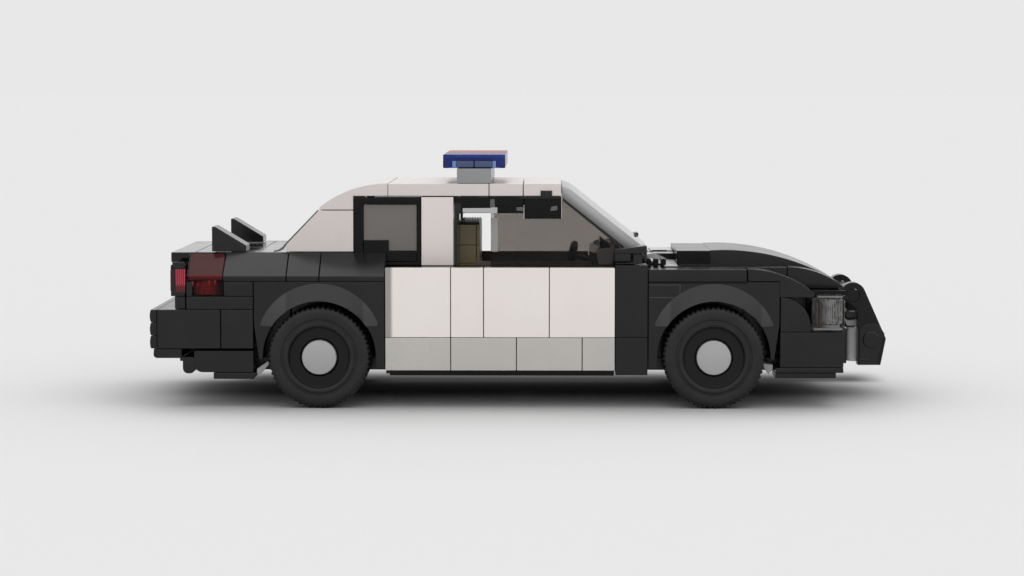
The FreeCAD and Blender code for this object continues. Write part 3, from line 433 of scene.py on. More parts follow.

# %% [markdown]
# ## Plastics of fittings and cabin
# Greys in several tones make the cowl, the caps, the bar's support and the grab bars, and tan makes the seat. They
# could share one grey, but real bricks of different years differ, and so do these. The near-white grey of the push
# bar's posts is lighter than their brick: it paints light on them against the shade around them.

# %% Fitting and cabin plastics
moulded_plastic("grey_plastic", (0.40, 0.40, 0.405), (0.43, 0.43, 0.435), 0.2, 1.46)
moulded_plastic("stone_plastic", (0.24, 0.243, 0.247), (0.27, 0.273, 0.277), 0.2, 1.46)
moulded_plastic("tan_plastic", (0.21, 0.178, 0.088), (0.25, 0.212, 0.11), 0.3, 1.4)
# a near-white grey paints light on the push bar's posts, against the shade around them
moulded_plastic("post_grey_painted_light", (0.76, 0.76, 0.76), (0.82, 0.82, 0.82), 0.3, 1.46)
moulded_plastic("cap_plastic", (0.345, 0.345, 0.345), (0.37, 0.37, 0.37), 0.3, 1.46)
moulded_plastic("plate_plastic", (0.55, 0.54, 0.52), (0.60, 0.59, 0.57), 0.25, 1.46)
moulded_plastic("pin_plastic", (0.085, 0.085, 0.087), (0.105, 0.105, 0.107), 0.25, 1.40)
moulded_plastic("band_plastic", (0.050, 0.047, 0.042), (0.060, 0.056, 0.050), 0.35, 1.36)
moulded_plastic("pane_edge_plastic", (0.29, 0.285, 0.28), (0.32, 0.315, 0.31), 0.2, 1.40)
print("with fittings", len(FINISHES))

# %% [markdown]
# ## Plastics inside the lamps
# What shows through a clear lamp is a dyed brick behind it. A solid piece of the right tone does that job with far
# less render time than a second clear layer. The tail lens has a darker foot, where its holder shades it.

# %% Lamp plastics
LENS_FOOT = [(28.6, 1.3)]
LENS_FOOT_TONE = (0.14, 0.008, 0.012)
Z_AXIS = 2
moulded_plastic("ruby_plastic", (0.46, 0.02, 0.045), (0.62, 0.05, 0.09), 0.15, 1.46, LENS_FOOT, LENS_FOOT_TONE, Z_AXIS)
moulded_plastic("wine_plastic", (0.17, 0.025, 0.035), (0.22, 0.035, 0.05), 0.15, 1.40)
moulded_plastic("port_plastic", (0.080, 0.050, 0.046), (0.095, 0.058, 0.053), 0.3, 1.40)
moulded_plastic("amber_plastic", (0.055, 0.024, 0.015), (0.08, 0.036, 0.022), 0.2, 1.46)
moulded_plastic("lining_plastic", (0.70, 0.50, 0.24), (0.74, 0.54, 0.27), 0.35, 1.40)
moulded_plastic("gem_blue", (0.28, 0.22, 0.22), (0.34, 0.26, 0.28), 0.15, 1.46)
moulded_plastic("gem_red", (0.45, 0.06, 0.05), (0.60, 0.10, 0.08), 0.15, 1.46)
moulded_plastic("bar_pane_blue", (0.05, 0.078, 0.155), (0.06, 0.095, 0.185), 0.12, 1.40)
moulded_plastic("bar_pane_red", (0.20, 0.05, 0.045), (0.24, 0.06, 0.05), 0.12, 1.40)
moulded_plastic("bar_slot_blue", (0.13, 0.21, 0.43), (0.16, 0.25, 0.50), 0.12, 1.40)
moulded_plastic("bar_slot_red", (0.55, 0.14, 0.12), (0.62, 0.17, 0.15), 0.12, 1.40)
print("moulded finishes", sorted(FINISHES))

# %% [markdown]
# ## Clear plastic
# The windows, lamps and light bar are clear plastic with dye in it. They bend light, so they are solid pieces with a
# true thickness and full transmission. A slight unevenness of tone and gloss keeps them from looking like film. The
# rear side panes are mostly solid: `clear` leaves them one fifth see-through, and the rest is a grey tone that paints
# the light of the cabin seen through them.

# %% Clear plastic in any colour
SMOKE = ((0.46, 0.435, 0.415), (0.445, 0.42, 0.40))


def clear_plastic(name, colour, deeper, gloss, refraction=1.46, clear=1.0):
    """Clear dyed plastic that bends light, with faint flow waves; below 1, `clear` leaves it cloudy."""
    place, shader = finish(name, IOR=refraction, Transmission_Weight=clear)
    flow = place.noise(0.09, 2.0)
    dress(shader, flow.above(0.5, 0.3).blend(colour, deeper), gloss + 0.03 * place.noise(0.5), flow, 0.04)


clear_plastic("smoke_clear", *SMOKE, 0.0, 1.18)
clear_plastic("screen_clear", *SMOKE, 0.0, 1.07)
# the rear side panes: their grey tone paints the light of the cabin behind them, which true glass would let through
clear_plastic("cabin_light_painted_smoke", (0.202, 0.191, 0.180), (0.194, 0.183, 0.172), 0.2, 1.18, 0.2)
clear_plastic("red_clear", (0.47, 0.085, 0.08), (0.42, 0.075, 0.07), 0.04, 1.22)
clear_plastic("bar_red_clear", (0.50, 0.05, 0.04), (0.44, 0.04, 0.035), 0.03, 1.006)
clear_plastic("lens_clear", (0.85, 0.03, 0.04), (0.8, 0.025, 0.03), 0.02)
clear_plastic("blue_clear", (0.085, 0.15, 0.60), (0.075, 0.13, 0.54), 0.03, 1.006)
clear_plastic("lamp_clear", (0.62, 0.61, 0.60), (0.56, 0.55, 0.54), 0.03, 1.35)
print("clear finishes", sorted(name for name in FINISHES if name.endswith(("clear", "smoke"))))

# %% [markdown]
# ## Mottled lamp facets
# Behind the headlamp's clear brick stand fluted lenses that break the light into dark and pale flecks. Modelling each
# facet would cost thousands of faces in a piece five millimetres tall, so a coarse noise with a hard edge draws them.

# %% Mottled lamp facets
FLECKS = 0.8
place, shader = finish("facet_plastic", IOR=1.46)
facets = place.noise(FLECKS, 2.0).above(0.5, 0.07)
mottle = facets.blend((0.055, 0.055, 0.054), (0.40, 0.40, 0.395))
dress(shader, mottle, 0.2 + 0.05 * place.noise(1.4), facets, 0.05)
print("lamp facets", FLECKS, "waves for each millimetre")

# %% [markdown]
# ## Milky screen rails
# The windscreen's side rails are milky clear plastic: pale along their outer line and darker towards the seal. The
# light on and in them would be slow to render, so a ramp over the distance below the outer line paints it: a painted
# highlight along the outer line and painted shade towards the seal.

# %% Milky screen rails
SCREEN_SLOPE = 0.795
RAIL_PAINTED_LIGHT = [(0.0, 0.66), (0.05, 0.43), (0.4, 0.40), (0.7, 0.27), (1.0, 0.165)]
rail_foot, rail_head = corners("windscreen_rails")
place, shader = finish("rail_plastic", IOR=1.28)
depth = (rail_head[0] - place.part(0)) * SCREEN_SLOPE + rail_foot[2] - place.part(2)
fade = depth.node("ShaderNodeMapRange", None, {"Value": depth, "From Min": 0.2, "From Max": 3.4})
# the ramp paints a highlight at the outer line and shade towards the seal
painted_rail_light = fade.node("ShaderNodeValToRGB", {"stops": RAIL_PAINTED_LIGHT}, {0: fade})
cloud = place.noise(0.12, 2.0).blend((0.94, 0.94, 0.93), (1.0, 1.0, 1.0))
dress(shader, painted_rail_light * cloud, 0.25 + 0.05 * place.noise(1.4))
print("rails run from x", round(rail_foot[0], 1), "to", round(rail_head[0], 1), "mm")

# %% [markdown]
# ## Rubber
# The tyres are soft black rubber: matt, slightly grey, with a fine bloom of dust and a grain from the mould. Plain
# black with full roughness would look like a hole, so the grain also feeds a shallow bump that catches some light.

# %% Tyre rubber
RUBBER_GRAIN = 2.2
place, shader = finish("tyre_rubber", IOR=1.33)
bloom = place.noise(0.25, 4.0).above(0.52, 0.2)
grain = place.noise(RUBBER_GRAIN, 3.0)
dress(shader, bloom.blend((0.009, 0.009, 0.009), (0.014, 0.014, 0.0138)), 0.5 + 0.15 * grain, grain, 0.03)
print("rubber grain", RUBBER_GRAIN, "waves for each millimetre")

# %% [markdown]
# ## Which brick has which finish
# Each CAD node names a material slot, and each slot gets one finish. Some bricks need their own: a darker copy that
# paints the shade of its place, a lighter one that paints light, a pane whose tone paints the cabin's light behind it,
# or a milky rail. Two short tables say so, which is easier to change than a line for every brick.

# %% Finishes by slot and by brick
SLOT_FINISH = {
    "body_black": "black_plastic",
    "panel_white": "white_plastic",
    "trim_grey": "grey_plastic",
    "seat_tan": "tan_plastic",
    "glass_smoke": "smoke_clear",
    "clear_red": "red_clear",
    "lens_red": "lens_clear",
    "clear_blue": "blue_clear",
    "clear_lamp": "lamp_clear",
    "tyre": "tyre_rubber",
    "rim_black": "rim_plastic",
}
NODE_FINISH = {
    "door_panels_lower": "sill_white_painted_shade",
    "door_panels_upper": "door_white_painted_end_shade",
    "arch_flares": "flare_black_painted_end_highlight",
    "push_bar_clips": "painted_deep_shade_black",
    "push_bar": "push_bar_painted_shade",
    "push_bar_posts": "post_grey_painted_light",
    "boot_deck": "deck_plastic",
    "b_pillars": "centre_post_white_painted_shade",
    "c_pillars": "pillar_white_painted_shade",
    "roof_panels": "pillar_white_painted_shade",
    "roof_rear_curve": "pillar_white_painted_shade",
    "roof_beams": "painted_deep_shade_black",
    "light_bar_support": "stone_plastic",
    "light_bar_red": "bar_red_clear",
    "windscreen": "screen_clear",
    "windscreen_rails": "rail_plastic",
    "rear_side_windows": "cabin_light_painted_smoke",
    "rear_side_frames": "painted_deep_shade_black",
}
print(len(SLOT_FINISH), "slots,", len(NODE_FINISH), "bricks with their own finish")

# %% [markdown]
# ## Soft edges
# The bricks have razor edges as they come from CAD, while a moulded edge is rounded by about 0.15 mm, and that tiny
# round is what makes every seam catch the light. Rounding by hand would change the mesh, so modifiers do it: weld
# split corners, merge flat triangles, bevel the sharp edges, and weight the normals so that flat faces stay flat.

# %% Rounding by modifiers
EDGE_ROUND = 0.14
SHARP_FROM = 28


def soften(thing, width=EDGE_ROUND):
    """Rounds a piece's sharp edges without touching its own mesh."""
    weld = thing.modifiers.new("weld", "WELD")
    weld.merge_threshold = 0.002 * MM
    flat = thing.modifiers.new("flat", "DECIMATE")
    flat.decimate_type = "DISSOLVE"
    flat.angle_limit = math.radians(0.5)
    edges = thing.modifiers.new("edges", "BEVEL")
    edges.width = width * MM
    edges.segments = 2
    edges.limit_method = "ANGLE"
    edges.angle_limit = math.radians(SHARP_FROM)
    normals = thing.modifiers.new("normals", "WEIGHTED_NORMAL")
    normals.keep_sharp = False
    normals.weight = 100


print("edges sharper than", SHARP_FROM, "degrees are rounded by", EDGE_ROUND, "mm")

# %% [markdown]
# ## Dressing the CAD bricks
# Every CAD brick gets its finish and its soft edges in one loop over the frame's nodes. Naming them one by one would
# miss any brick that the model gains later. The tyres and the steering wheel are round already and are replaced
# below, so they stay as they are.

# %% Dress the CAD bricks
slot_of = {part["node"]: part["material_slot"] for part in frame["record"]["subparts"]}
for name, thing in frame["nodes"].items():
    thing.data.materials.clear()
    thing.data.materials.append(FINISHES[NODE_FINISH.get(name, SLOT_FINISH[slot_of[name]])])
    if not name.startswith(("tyre_", "steering_wheel")):
        soften(thing)
print("softened", sum(bool(thing.modifiers) for thing in frame["nodes"].values()), "bricks")

# %% [markdown]
# ## Building shapes
# The small pieces are built here from numbers, as a model maker cuts them: outlines pulled sideways, blocks, and
# profiles turned round an axis. One `Shape` gathers such closed parts and becomes one object, which rides on its
# body and may stand for a CAD node. Blender's ready-made primitives would need moving and joining one by one.

# %% The Shape class
FULL_TURN = 2 * math.pi
TURNED_SHARP = 32


class Shape:
    """A mesh in the making, in millimetres."""

    def __init__(self):
        self.points = []
        self.faces = []

    def add(self, points, faces):
        """Adds loose points and the faces between them."""
        start = len(self.points)
        self.points += points
        self.faces += [tuple(start + index for index in face) for face in faces]
        return self

    def prism(self, outline, y):
        """An outline in (x, z), pulled from one y to another."""
        count = len(outline)
        points = [(x, side, z) for side in y for x, z in outline]
        walls = [(i, (i + 1) % count, count + (i + 1) % count, count + i) for i in range(count)]
        return self.add(points, [tuple(range(count)), tuple(range(2 * count - 1, count - 1, -1))] + walls)

    def block(self, x, y, z):
        """A box between two values of x, y and z."""
        return self.prism([(x[0], z[0]), (x[1], z[0]), (x[1], z[1]), (x[0], z[1])], y)

    def pair(self, outline, y):
        """The same prism on both sides of the car."""
        return self.prism(outline, y).prism(outline, (-y[1], -y[0]))

    def beam(self, outline, x):
        """An outline in (y, z), pulled from one x to another."""
        start = len(self.points)
        self.prism(outline, x)
        self.points[start:] = [(along, across, up) for across, along, up in self.points[start:]]
        return self

    def blocks(self, x, y, z):
        """The same box on both sides of the car."""
        return self.block(x, y, z).block(x, (-y[1], -y[0]), z)

    def turned(self, profile, centre, axis="y", steps=48, angles=None, lift=None, flip=1):
        """Turns (radius, along) points round an axis; the profile is a loop, or starts and ends at radius 0."""
        angles = angles or [FULL_TURN * step / steps for step in range(steps)]
        rings = []
        points = []
        for row, (radius, along) in enumerate(profile):
            ring = []
            for column, angle in enumerate(angles if radius > 0 else angles[:1]):
                reach = radius + (lift(row, column) if lift else 0.0)
                across, up = reach * math.cos(angle), reach * math.sin(angle)
                place = {"x": (along * flip, across, up), "y": (across, along * flip, up), "z": (across, up, along)}
                ring.append(len(points))
                points.append(tuple(a + b for a, b in zip(place[axis], centre)))
            rings.append(ring)
        faces = []
        open_ends = profile[0][0] == 0
        for low, high in zip(rings, rings[1:] if open_ends else rings[1:] + rings[:1]):
            for column in range(len(angles)):
                near, far = column, (column + 1) % len(angles)
                quad = [low[near % len(low)], low[far % len(low)], high[far % len(high)], high[near % len(high)]]
                faces.append(tuple(dict.fromkeys(quad)))
        return self.add(points, faces)

    def piece(self, name, look, slot, body="car_body", stands_for=(), edge=0.12):
        """Makes the object; `edge` is the rounding of its sharp edges, or 0 for a turned piece."""
        mesh = bpy.data.meshes.new(name)
        mesh.from_pydata([Vector(point) * MM for point in self.points], [], self.faces)
        tidy = bmesh.new()
        tidy.from_mesh(mesh)
        bmesh.ops.recalc_face_normals(tidy, faces=tidy.faces)
        tidy.to_mesh(mesh)
        tidy.free()
        mesh.materials.append(FINISHES[look])
        mesh.shade_smooth()
        thing = bpy.data.objects.new(name, mesh)
        bpy.context.scene.collection.objects.link(thing)
        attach(thing, body)
        if stands_for:
            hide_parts(*stands_for)
        if edge:
            soften(thing, edge)
        else:
            mesh.set_sharp_from_angle(angle=math.radians(TURNED_SHARP))
        return thing


print("shapes ready: prism, block, pair, beam, blocks, turned")

# %% [markdown]
# ## Wheels
# A toy tyre is moulded rubber with fine teeth round its tread and two raised rings on its sidewall, and it snaps over
# a black rim with a grey cap. Each is a profile of (radius, depth from the wheel's face), in millimetres, that is
# turned round the axle. The tyre's tread has two rows of teeth, and the second row stands between the first one's.

# %% Profiles of tyre, rim and cap
TEETH = 60
TOOTH_TALL = 0.3
TYRE = [
    (8.45, 0.55), (7.62, 0.55), (7.55, 0.42), (7.6, 0.18), (7.8, 0.05), (8.3, 0.0), (8.6, 0.04), (8.72, 0.26),
    (9.0, 0.32), (9.22, 0.28), (9.34, 0.06), (9.6, 0.0), (10.9, 0.0), (11.4, 0.06), (11.72, 0.26), (11.8, 0.34),
    (12.04, 0.85), (12.1, 5.5), (12.1, 5.6), (12.1, 6.4), (12.1, 6.5), (12.04, 11.15), (11.8, 11.66),
    (11.4, 11.94), (10.9, 12.0), (8.9, 12.0), (8.45, 11.7),
]
OUTER_TEETH = {15: 0.2, 16: TOOTH_TALL, 17: TOOTH_TALL}
INNER_TEETH = {20: TOOTH_TALL, 21: TOOTH_TALL, 22: 0.2}
RIM = [
    (8.4, 0.6), (7.5, 0.6), (7.38, 0.72), (7.3, 1.3), (7.1, 1.45), (4.75, 1.5), (4.55, 1.7), (4.45, 2.1), (3.2, 2.2),
    (2.46, 2.4), (2.46, 11.4), (4.1, 11.4), (4.3, 8.4), (7.0, 8.2), (7.3, 11.4), (8.4, 11.4),
]
CAP = [(0, 0.62), (3.85, 0.6), (4.08, 0.66), (4.18, 0.82), (4.18, 2.1), (4.0, 2.25), (0, 2.25)]
print("profiles of", len(TYRE), len(RIM), "and", len(CAP), "points")

# %% [markdown]
# ## Turning the wheels
# Along the two tread rows, pairs of columns are lifted in turn, which cuts both rows of teeth into the same closed
# skin. A bump could fake the teeth, but the outline would stay smooth. Each wheel takes its centre from its CAD tyre
# and rides on its own body.

# %% Tyres, rims and hub caps
TOOTH_EDGES = (0.0, 0.4, 0.5, 0.9)
tread_angles = [FULL_TURN / TEETH * (tooth + part) for tooth in range(TEETH) for part in TOOTH_EDGES]


def tooth_lift(row, column):
    """How far a point of the tyre's profile is lifted into a tooth."""
    return (OUTER_TEETH if column % 4 < 2 else INNER_TEETH).get(row, 0.0)


for corner in ("rear_right", "rear_left", "front_right", "front_left"):
    low, high = corners("tyre_" + corner)
    inward = 1 if high[1] < 0 else -1
    centre = ((low[0] + high[0]) / 2, low[1] if inward > 0 else high[1], (low[2] + high[2]) / 2)
    wheel = {"body": "wheel_" + corner, "edge": 0}
    tyre = Shape().turned(TYRE, centre, angles=tread_angles, lift=tooth_lift, flip=inward)
    tyre.piece("tread_" + corner, "tyre_rubber", "tyre", stands_for=["tyre_" + corner], **wheel)
    rim = Shape().turned(RIM, centre, steps=96, flip=inward)
    rim.piece("wheel_rim_" + corner, "rim_plastic", "rim_black", stands_for=["rim_" + corner], **wheel)
    cap = Shape().turned(CAP, centre, steps=96, flip=inward)
    cap.piece("wheel_cap_" + corner, "cap_plastic", "trim_grey", stands_for=["hub_cap_" + corner], **wheel)
print("tyre radius in mm", round((high[2] - low[2]) / 2, 2))

# %% [markdown]
# ## Mirrors
# Each mirror is two small bricks with a slot between them, under a cap whose top rises to the front. They are cut as
# outlines seen from the side and pulled across, as all the small bricks below are. A scaled cube for each would be
# quicker, but the cap's slope and the slots need outlines.

# %% Mirrors
mirror_y = (-32.0, -26.4)
mirrors = Shape()
mirrors.pair([(22.75, 35.95), (26.45, 35.95), (26.45, 37.7), (22.75, 37.7)], mirror_y)
mirrors.pair([(27.1, 35.3), (29.35, 35.3), (29.35, 37.6), (27.1, 37.6)], (-31.7, -26.6))
mirrors.pair([(22.7, 37.75), (30.4, 37.75), (30.4, 39.6), (29.9, 39.65), (22.7, 38.7)], mirror_y)
mirrors.pair([(29.75, 35.9), (30.4, 35.9), (30.4, 37.7), (29.75, 37.7)], (-31.9, -26.6))
mirrors.pair([(22.9, 35.2), (28.9, 35.2), (28.9, 35.5), (22.9, 35.5)], (-31.6, -26.6))
mirrors.piece("mirror_bricks", "black_plastic", "body_black", stands_for=["mirrors"], edge=0.1)
print("mirror points", len(mirrors.points))

# %% [markdown]
# ## Cowl
# Between windscreen and hood lies a grey step of tiles, and beside the hood stand the rounded fingers of its hinges.
# The step sits one plate below the hood's top. Its height could be typed in, but taken from the hood it follows it.

# %% Cowl tiles
cowl_z = corners("hood_centre")[1][2] - PLATE
cowl = Shape()
ramp = [(31.0, cowl_z), (38.3, cowl_z), (38.3, cowl_z + 1.7), (33.4, cowl_z + 1.7), (31.4, cowl_z + 1.2)]
cowl.prism(ramp, (-2, 15.8))
cowl.block((32.6, 38.3), (3.6, 15.8), (cowl_z + 1.75, cowl_z + 2.1))
cowl.block((31.2, 33.2), (-15.6, -3.0), (cowl_z, cowl_z + 0.5))
cowl.blocks((35.0, 38.4), (-23.6, -16.1), (34.03, 34.3))
cowl.block((33.4, 38.4), (-15.8, -2.1), (34.1, 34.4))
cowl.piece("cowl_tiles", "grey_plastic", "trim_grey", edge=0.08)
slots = Shape().prism([(34.2, 35.9), (38.35, 35.9), (38.35, 34.5), (36.9, 34.5)], (-2.3, -2.02))
slots.block((33.2, 36.8), (3.3, 3.55), (cowl_z + 1.72, cowl_z + 2.1))
slots.piece("cowl_slots", "painted_deep_shade_black", "body_black", edge=0.04)
print("cowl base at", round(cowl_z, 2), "mm")

# %% [markdown]
# ## Hinge fingers
# A finger is a narrow plate with a round head. A cylinder joined to a box would leave faces inside, so its outline
# goes up one side, round the head in seven points and down the other, and is pulled across in one go.

# %% Hinge fingers
FINGER_HALF = 0.6
HEAD_HEIGHT = 35.3
HEAD_TURNS = (0, 0.5, 1.05, 1.57, 2.1, 2.6, math.pi)
fingers = Shape()
for x in (31.3, 33.1, 34.9):
    outline = [(x - 0.55, 34.0), (x + 0.55, 34.0), (x + FINGER_HALF, 34.9)]
    outline += [(x + FINGER_HALF * math.cos(a), HEAD_HEIGHT + FINGER_HALF * math.sin(a)) for a in HEAD_TURNS]
    outline += [(x - FINGER_HALF, 34.9)]
    fingers.pair(outline, (-21.6, -18.6)).pair(outline, (-17.9, -16.2))
# the fingers take the darkest, least mirroring black, which paints the shade between them
fingers.piece("cowl_fingers", "painted_deep_shade_black", "body_black", edge=0.08)
print("fingers", FINGER_HALF * 2, "mm wide")

# %% [markdown]
# ## Edges of the fender bricks
# The front fender's small bricks show fine pale edges and a dark gap between their rows. Both are thin raised strips,
# a tenth of a millimetre deep: the pale ones a painted highlight on the edges, the dark ones a painted shade in the
# gap.

# %% Fender bricks
FENDER_SKIN = (-31.96, -31.88)
GAP_SKIN = (-31.95, -31.86)
# pale strips: a painted highlight along the brick edges
edge_highlight_strips = Shape().blocks((31.0, 38.5), FENDER_SKIN, (30.05, 30.2))
edge_highlight_strips.blocks((31.0, 38.5), FENDER_SKIN, (26.95, 27.1))
edge_highlight_strips.blocks((38.4, 38.55), FENDER_SKIN, (27.0, 30.2))
edge_highlight_strips.piece("fender_painted_edge_highlights", "band_plastic", "body_black", edge=0.03)
# dark strips: a painted shade in the gap between the rows
gap_shade_strips = Shape().blocks((30.95, 55.05), GAP_SKIN, (30.5, 30.9))
gap_shade_strips.blocks((54.85, 55.1), GAP_SKIN, (30.8, 33.7))
gap_shade_strips.piece("fender_painted_gap_shades", "painted_deep_shade_black", "body_black", edge=0.03)
print("fender strips", round(FENDER_SKIN[1] - FENDER_SKIN[0], 2), "mm deep")

# %% [markdown]
# ## Hood skin
# The hood's top is one curved slope. Three points of it are known, and one circle goes through three points, so its
# centre is worked out from them and the slope is drawn in 24 short steps along that circle.

# %% Hood skin
HOOD = ((46.75, 37.6), (66.6, 35.2), (78.7, 29.75))
HOOD_FOOT = 28.1
HOOD_STEPS = 24
(ax, az), (bx, bz), (cx, cz) = HOOD
twice = 2 * (ax * (bz - cz) + bx * (cz - az) + cx * (az - bz))
squares = [x * x + z * z for x, z in HOOD]
middle_x = (squares[0] * (bz - cz) + squares[1] * (cz - az) + squares[2] * (az - bz)) / twice
middle_z = (squares[0] * (cx - bx) + squares[1] * (ax - cx) + squares[2] * (bx - ax)) / twice
reach = math.hypot(ax - middle_x, az - middle_z)
hood_line = []
for step in range(HOOD_STEPS + 1):
    x = ax + (cx - ax) * step / HOOD_STEPS
    hood_line.append((x, middle_z + math.sqrt(reach ** 2 - (x - middle_x) ** 2)))
hood_skin = Shape().prism(hood_line + [(cx, HOOD_FOOT), (ax, HOOD_FOOT)], (-15.95, 15.95))
hood_skin.piece("hood_skin", "black_plastic", "body_black", edge=0.14)
print("hood bends with a radius of", round(reach, 1), "mm")
# thin dark strips on the hood's sides, darker and duller than its black, paint the shade there
hood_side_shade_strips = Shape().blocks((38.5, 46.6), (-15.98, -15.88), (34.2, 37.4))
hood_side_shade_strips.piece("hood_painted_side_shades", "painted_deep_shade_black", "body_black", edge=0.04)

# %% [markdown]
# ## Screen seals
# Under each milky side rail of the windscreen runs a thin black seal. A box turned to the screen's slope would end in
# square ends, so the strip is an outline whose ends are cut level, as the rail's are.

# %% Seals under the rails
seal = Shape()
seal.pair([(25.65, 37.75), (26.5, 37.75), (9.95, 50.95), (9.95, 50.25)], (-23.8, -22.2))
seal.piece("screen_seals", "black_plastic", "body_black", edge=0.05)
print("seal length in mm", round(math.hypot(26.5 - 9.95, 50.95 - 37.75), 1))

# %% [markdown]
# ## Rear glass edges and sill lips
# The rear window ends in a fine dark line that curls out at its foot. The doors end in a dark lip under the sill,
# which hides the floor plates from the side and paints the shade under the doors. The curl is an outline whose outer
# and inner lines are a few tenths apart.

# %% Rear glass edges and sill lips
glass_edge = Shape()
outer = [(-50.1, 48.0), (-58.1, 39.75), (-58.9, 38.8), (-59.8, 38.2), (-61.0, 37.9)]
inner = [(-61.0, 37.6), (-59.6, 37.75), (-58.6, 38.3), (-57.85, 39.45), (-49.85, 47.8)]
glass_edge.pair(outer + inner, (-23.9, -23.1))
glass_edge.piece("rear_glass_edges", "pin_plastic", "body_black", edge=0.03)
# a dark lip under each door: it hides the floor plates and paints the shade under the doors
lips = Shape().blocks((-32.1, 22.5), (-31.6, -28.75), (7.95, 9.1))
lips.piece("sill_painted_shade_ledge", "painted_deep_shade_black", "body_black", edge=0.08)
print("glass edge", len(outer) + len(inner), "corners")

# %% [markdown]
# ## Front bench
# Through the smoke windows one sees a tan bench made of stacked plates, with a ribbed black cap on its back. One box
# would do for its outline, but the seams between the plates show in the open window, so each plate is its own box.

# %% Front bench panels
seat = Shape()
for x in ((-16.35, -15.85), (-15.78, -11.5), (-11.43, -10.6)):
    for z in ((11.3, 34.0), (34.08, 38.6), (38.68, 43.75)):
        seat.block(x, (-11.9, 11.9), z)
seat.prism([(-9.95, 11.3), (3.4, 11.3), (3.4, 17.0), (2.6, 17.7), (-9.95, 17.2)], (-11.9, 11.9))
seat.piece("seat_panels", "tan_plastic", "seat_tan", stands_for=["front_seat"], edge=0.12)
seat_cap = Shape().prism([(-15.9, 43.9), (-10.55, 43.9), (-10.55, 44.0), (-10.8, 44.2), (-15.6, 44.3)], (-12.0, 12.0))
CAP_RIB = 0.66
for rib in range(8):
    back = -15.8 + rib * CAP_RIB
    seat_cap.block((back, back + 0.36), (-11.9, 11.9), (44.2, 44.5))
seat_cap.piece("seat_cap", "painted_deep_shade_black", "body_black", edge=0.04)
print("cap ribs", CAP_RIB, "mm apart")

# %% [markdown]
# ## Steering wheel
# The wheel is a ring with a hub, three spokes and a stub of its column. Blender's torus would give the ring, but the
# whole piece is one closed-part mesh here, built upright at the origin and then tilted and moved to its place.

# %% Steering wheel
HELM = (12.6, 0.0, 35.4)
HELM_RADIUS = 2.8
RING_SIDES = 10
helm_tilt = Matrix.Rotation(math.radians(13), 3, "Y")
helm = Shape()
ring_turns = [FULL_TURN * side / RING_SIDES for side in range(RING_SIDES)]
helm.turned([(HELM_RADIUS + math.cos(a), math.sin(a)) for a in ring_turns], (0, 0, 0), "x", 40)
helm.turned([(0, 0.45), (0.75, 0.4), (0.95, 0.1), (0.95, -0.5), (0, -0.5)], (0, 0, 0), "x", 24)
for spoke in range(3):
    turn = Matrix.Rotation(FULL_TURN * spoke / 3 + math.pi / 2, 3, "X")
    corner_points = [(x, y, z) for x in (-0.25, 0.2) for y in (0.6, HELM_RADIUS) for z in (-0.35, 0.35)]
    box_faces = [(0, 1, 3, 2), (4, 6, 7, 5), (0, 4, 5, 1), (2, 3, 7, 6), (0, 2, 6, 4), (1, 5, 7, 3)]
    helm.add([tuple(turn @ Vector(point)) for point in corner_points], box_faces)
helm.turned([(0, 0), (0.55, 0), (0.6, 4.4), (0, 4.4)], (0, 0, 0), "x", 20)
helm.points = [tuple(helm_tilt @ Vector(point) + Vector(HELM)) for point in helm.points]
helm.piece("steering_ring", "black_plastic", "body_black", stands_for=["steering_wheel"], edge=0)
print("steering ring", HELM_RADIUS * 2, "mm wide at its middle line")

# %% [markdown]
# ## Dashboard and door trims
# A hood shades the instruments, grey facings end the dashboard at the doors, and a dark trim lines each door. All
# three could be one piece, but they differ in colour, and a piece has one finish.

# %% Instrument hood, facings and trims
hood_piece = Shape().prism([(19.5, 37.45), (22.6, 37.45), (22.3, 38.2), (19.7, 40.2), (19.5, 40.0)], (-4, 4))
hood_piece.piece("instrument_hood", "black_plastic", "body_black")
facing = Shape().pair([(18.9, 34.4), (22.4, 34.4), (22.4, 38.4), (20.0, 38.4), (18.3, 37.8)], (-20.35, -20.02))
facing.piece("dashboard_facing", "stone_plastic", "trim_grey", edge=0.05)
door_trims = Shape().blocks((-11.3, 17.0), (-20.35, -20.05), (31.3, 35.2))
door_trims.piece("door_trims", "band_plastic", "body_black", edge=0.06)
print("hood over the instruments", round(22.6 - 19.5, 1), "mm deep")

# %% [markdown]
# ## Grab bars
# The open window beside the bench shows a grey bar with a stub, and small dark pins above it. The bar's neck is drawn
# in its outline, because its step is what shows against the pale backdrop.

# %% Grab bars
bars = Shape()
grip = [(-14.5, 47.3), (-7.7, 47.3), (-7.5, 47.15), (-6.0, 47.15)]
grip += [(-6.0, 48.6), (-7.5, 48.6), (-7.7, 48.45), (-14.5, 48.4)]
bars.pair(grip, (-24.5, -23.85))
bars.piece("grab_bars", "grey_plastic", "trim_grey", edge=0.1)
pins = Shape()
pins.pair([(-7.8, 48.6), (-6.6, 48.6), (-6.7, 50.6), (-7.7, 50.6)], (-24.3, -23.85))
pins.pair([(-1.3, 47.8), (0.2, 47.7), (0.5, 48.2), (0.2, 48.7), (-1.3, 48.6)], (-24.4, -23.85))
pins.pair([(6.9, 47.7), (8.7, 47.9), (8.7, 49.0), (7.3, 48.8)], (-24.02, -23.85))
pins.piece("grab_bar_pins", "pin_plastic", "trim_grey", edge=0.08)
print("grip from x", grip[0][0], "to", grip[3][0], "mm")

# %% [markdown]
# ## Window brackets and steps
# The front pane ends in a pale edge behind the open gap, because a cut edge gathers light. Bending that light truly
# would need many bounces, so the edge is a thin pale strip. Black brackets frame the gap, and a black stepped brick
# closes the lower corner of each rear side window from inside.

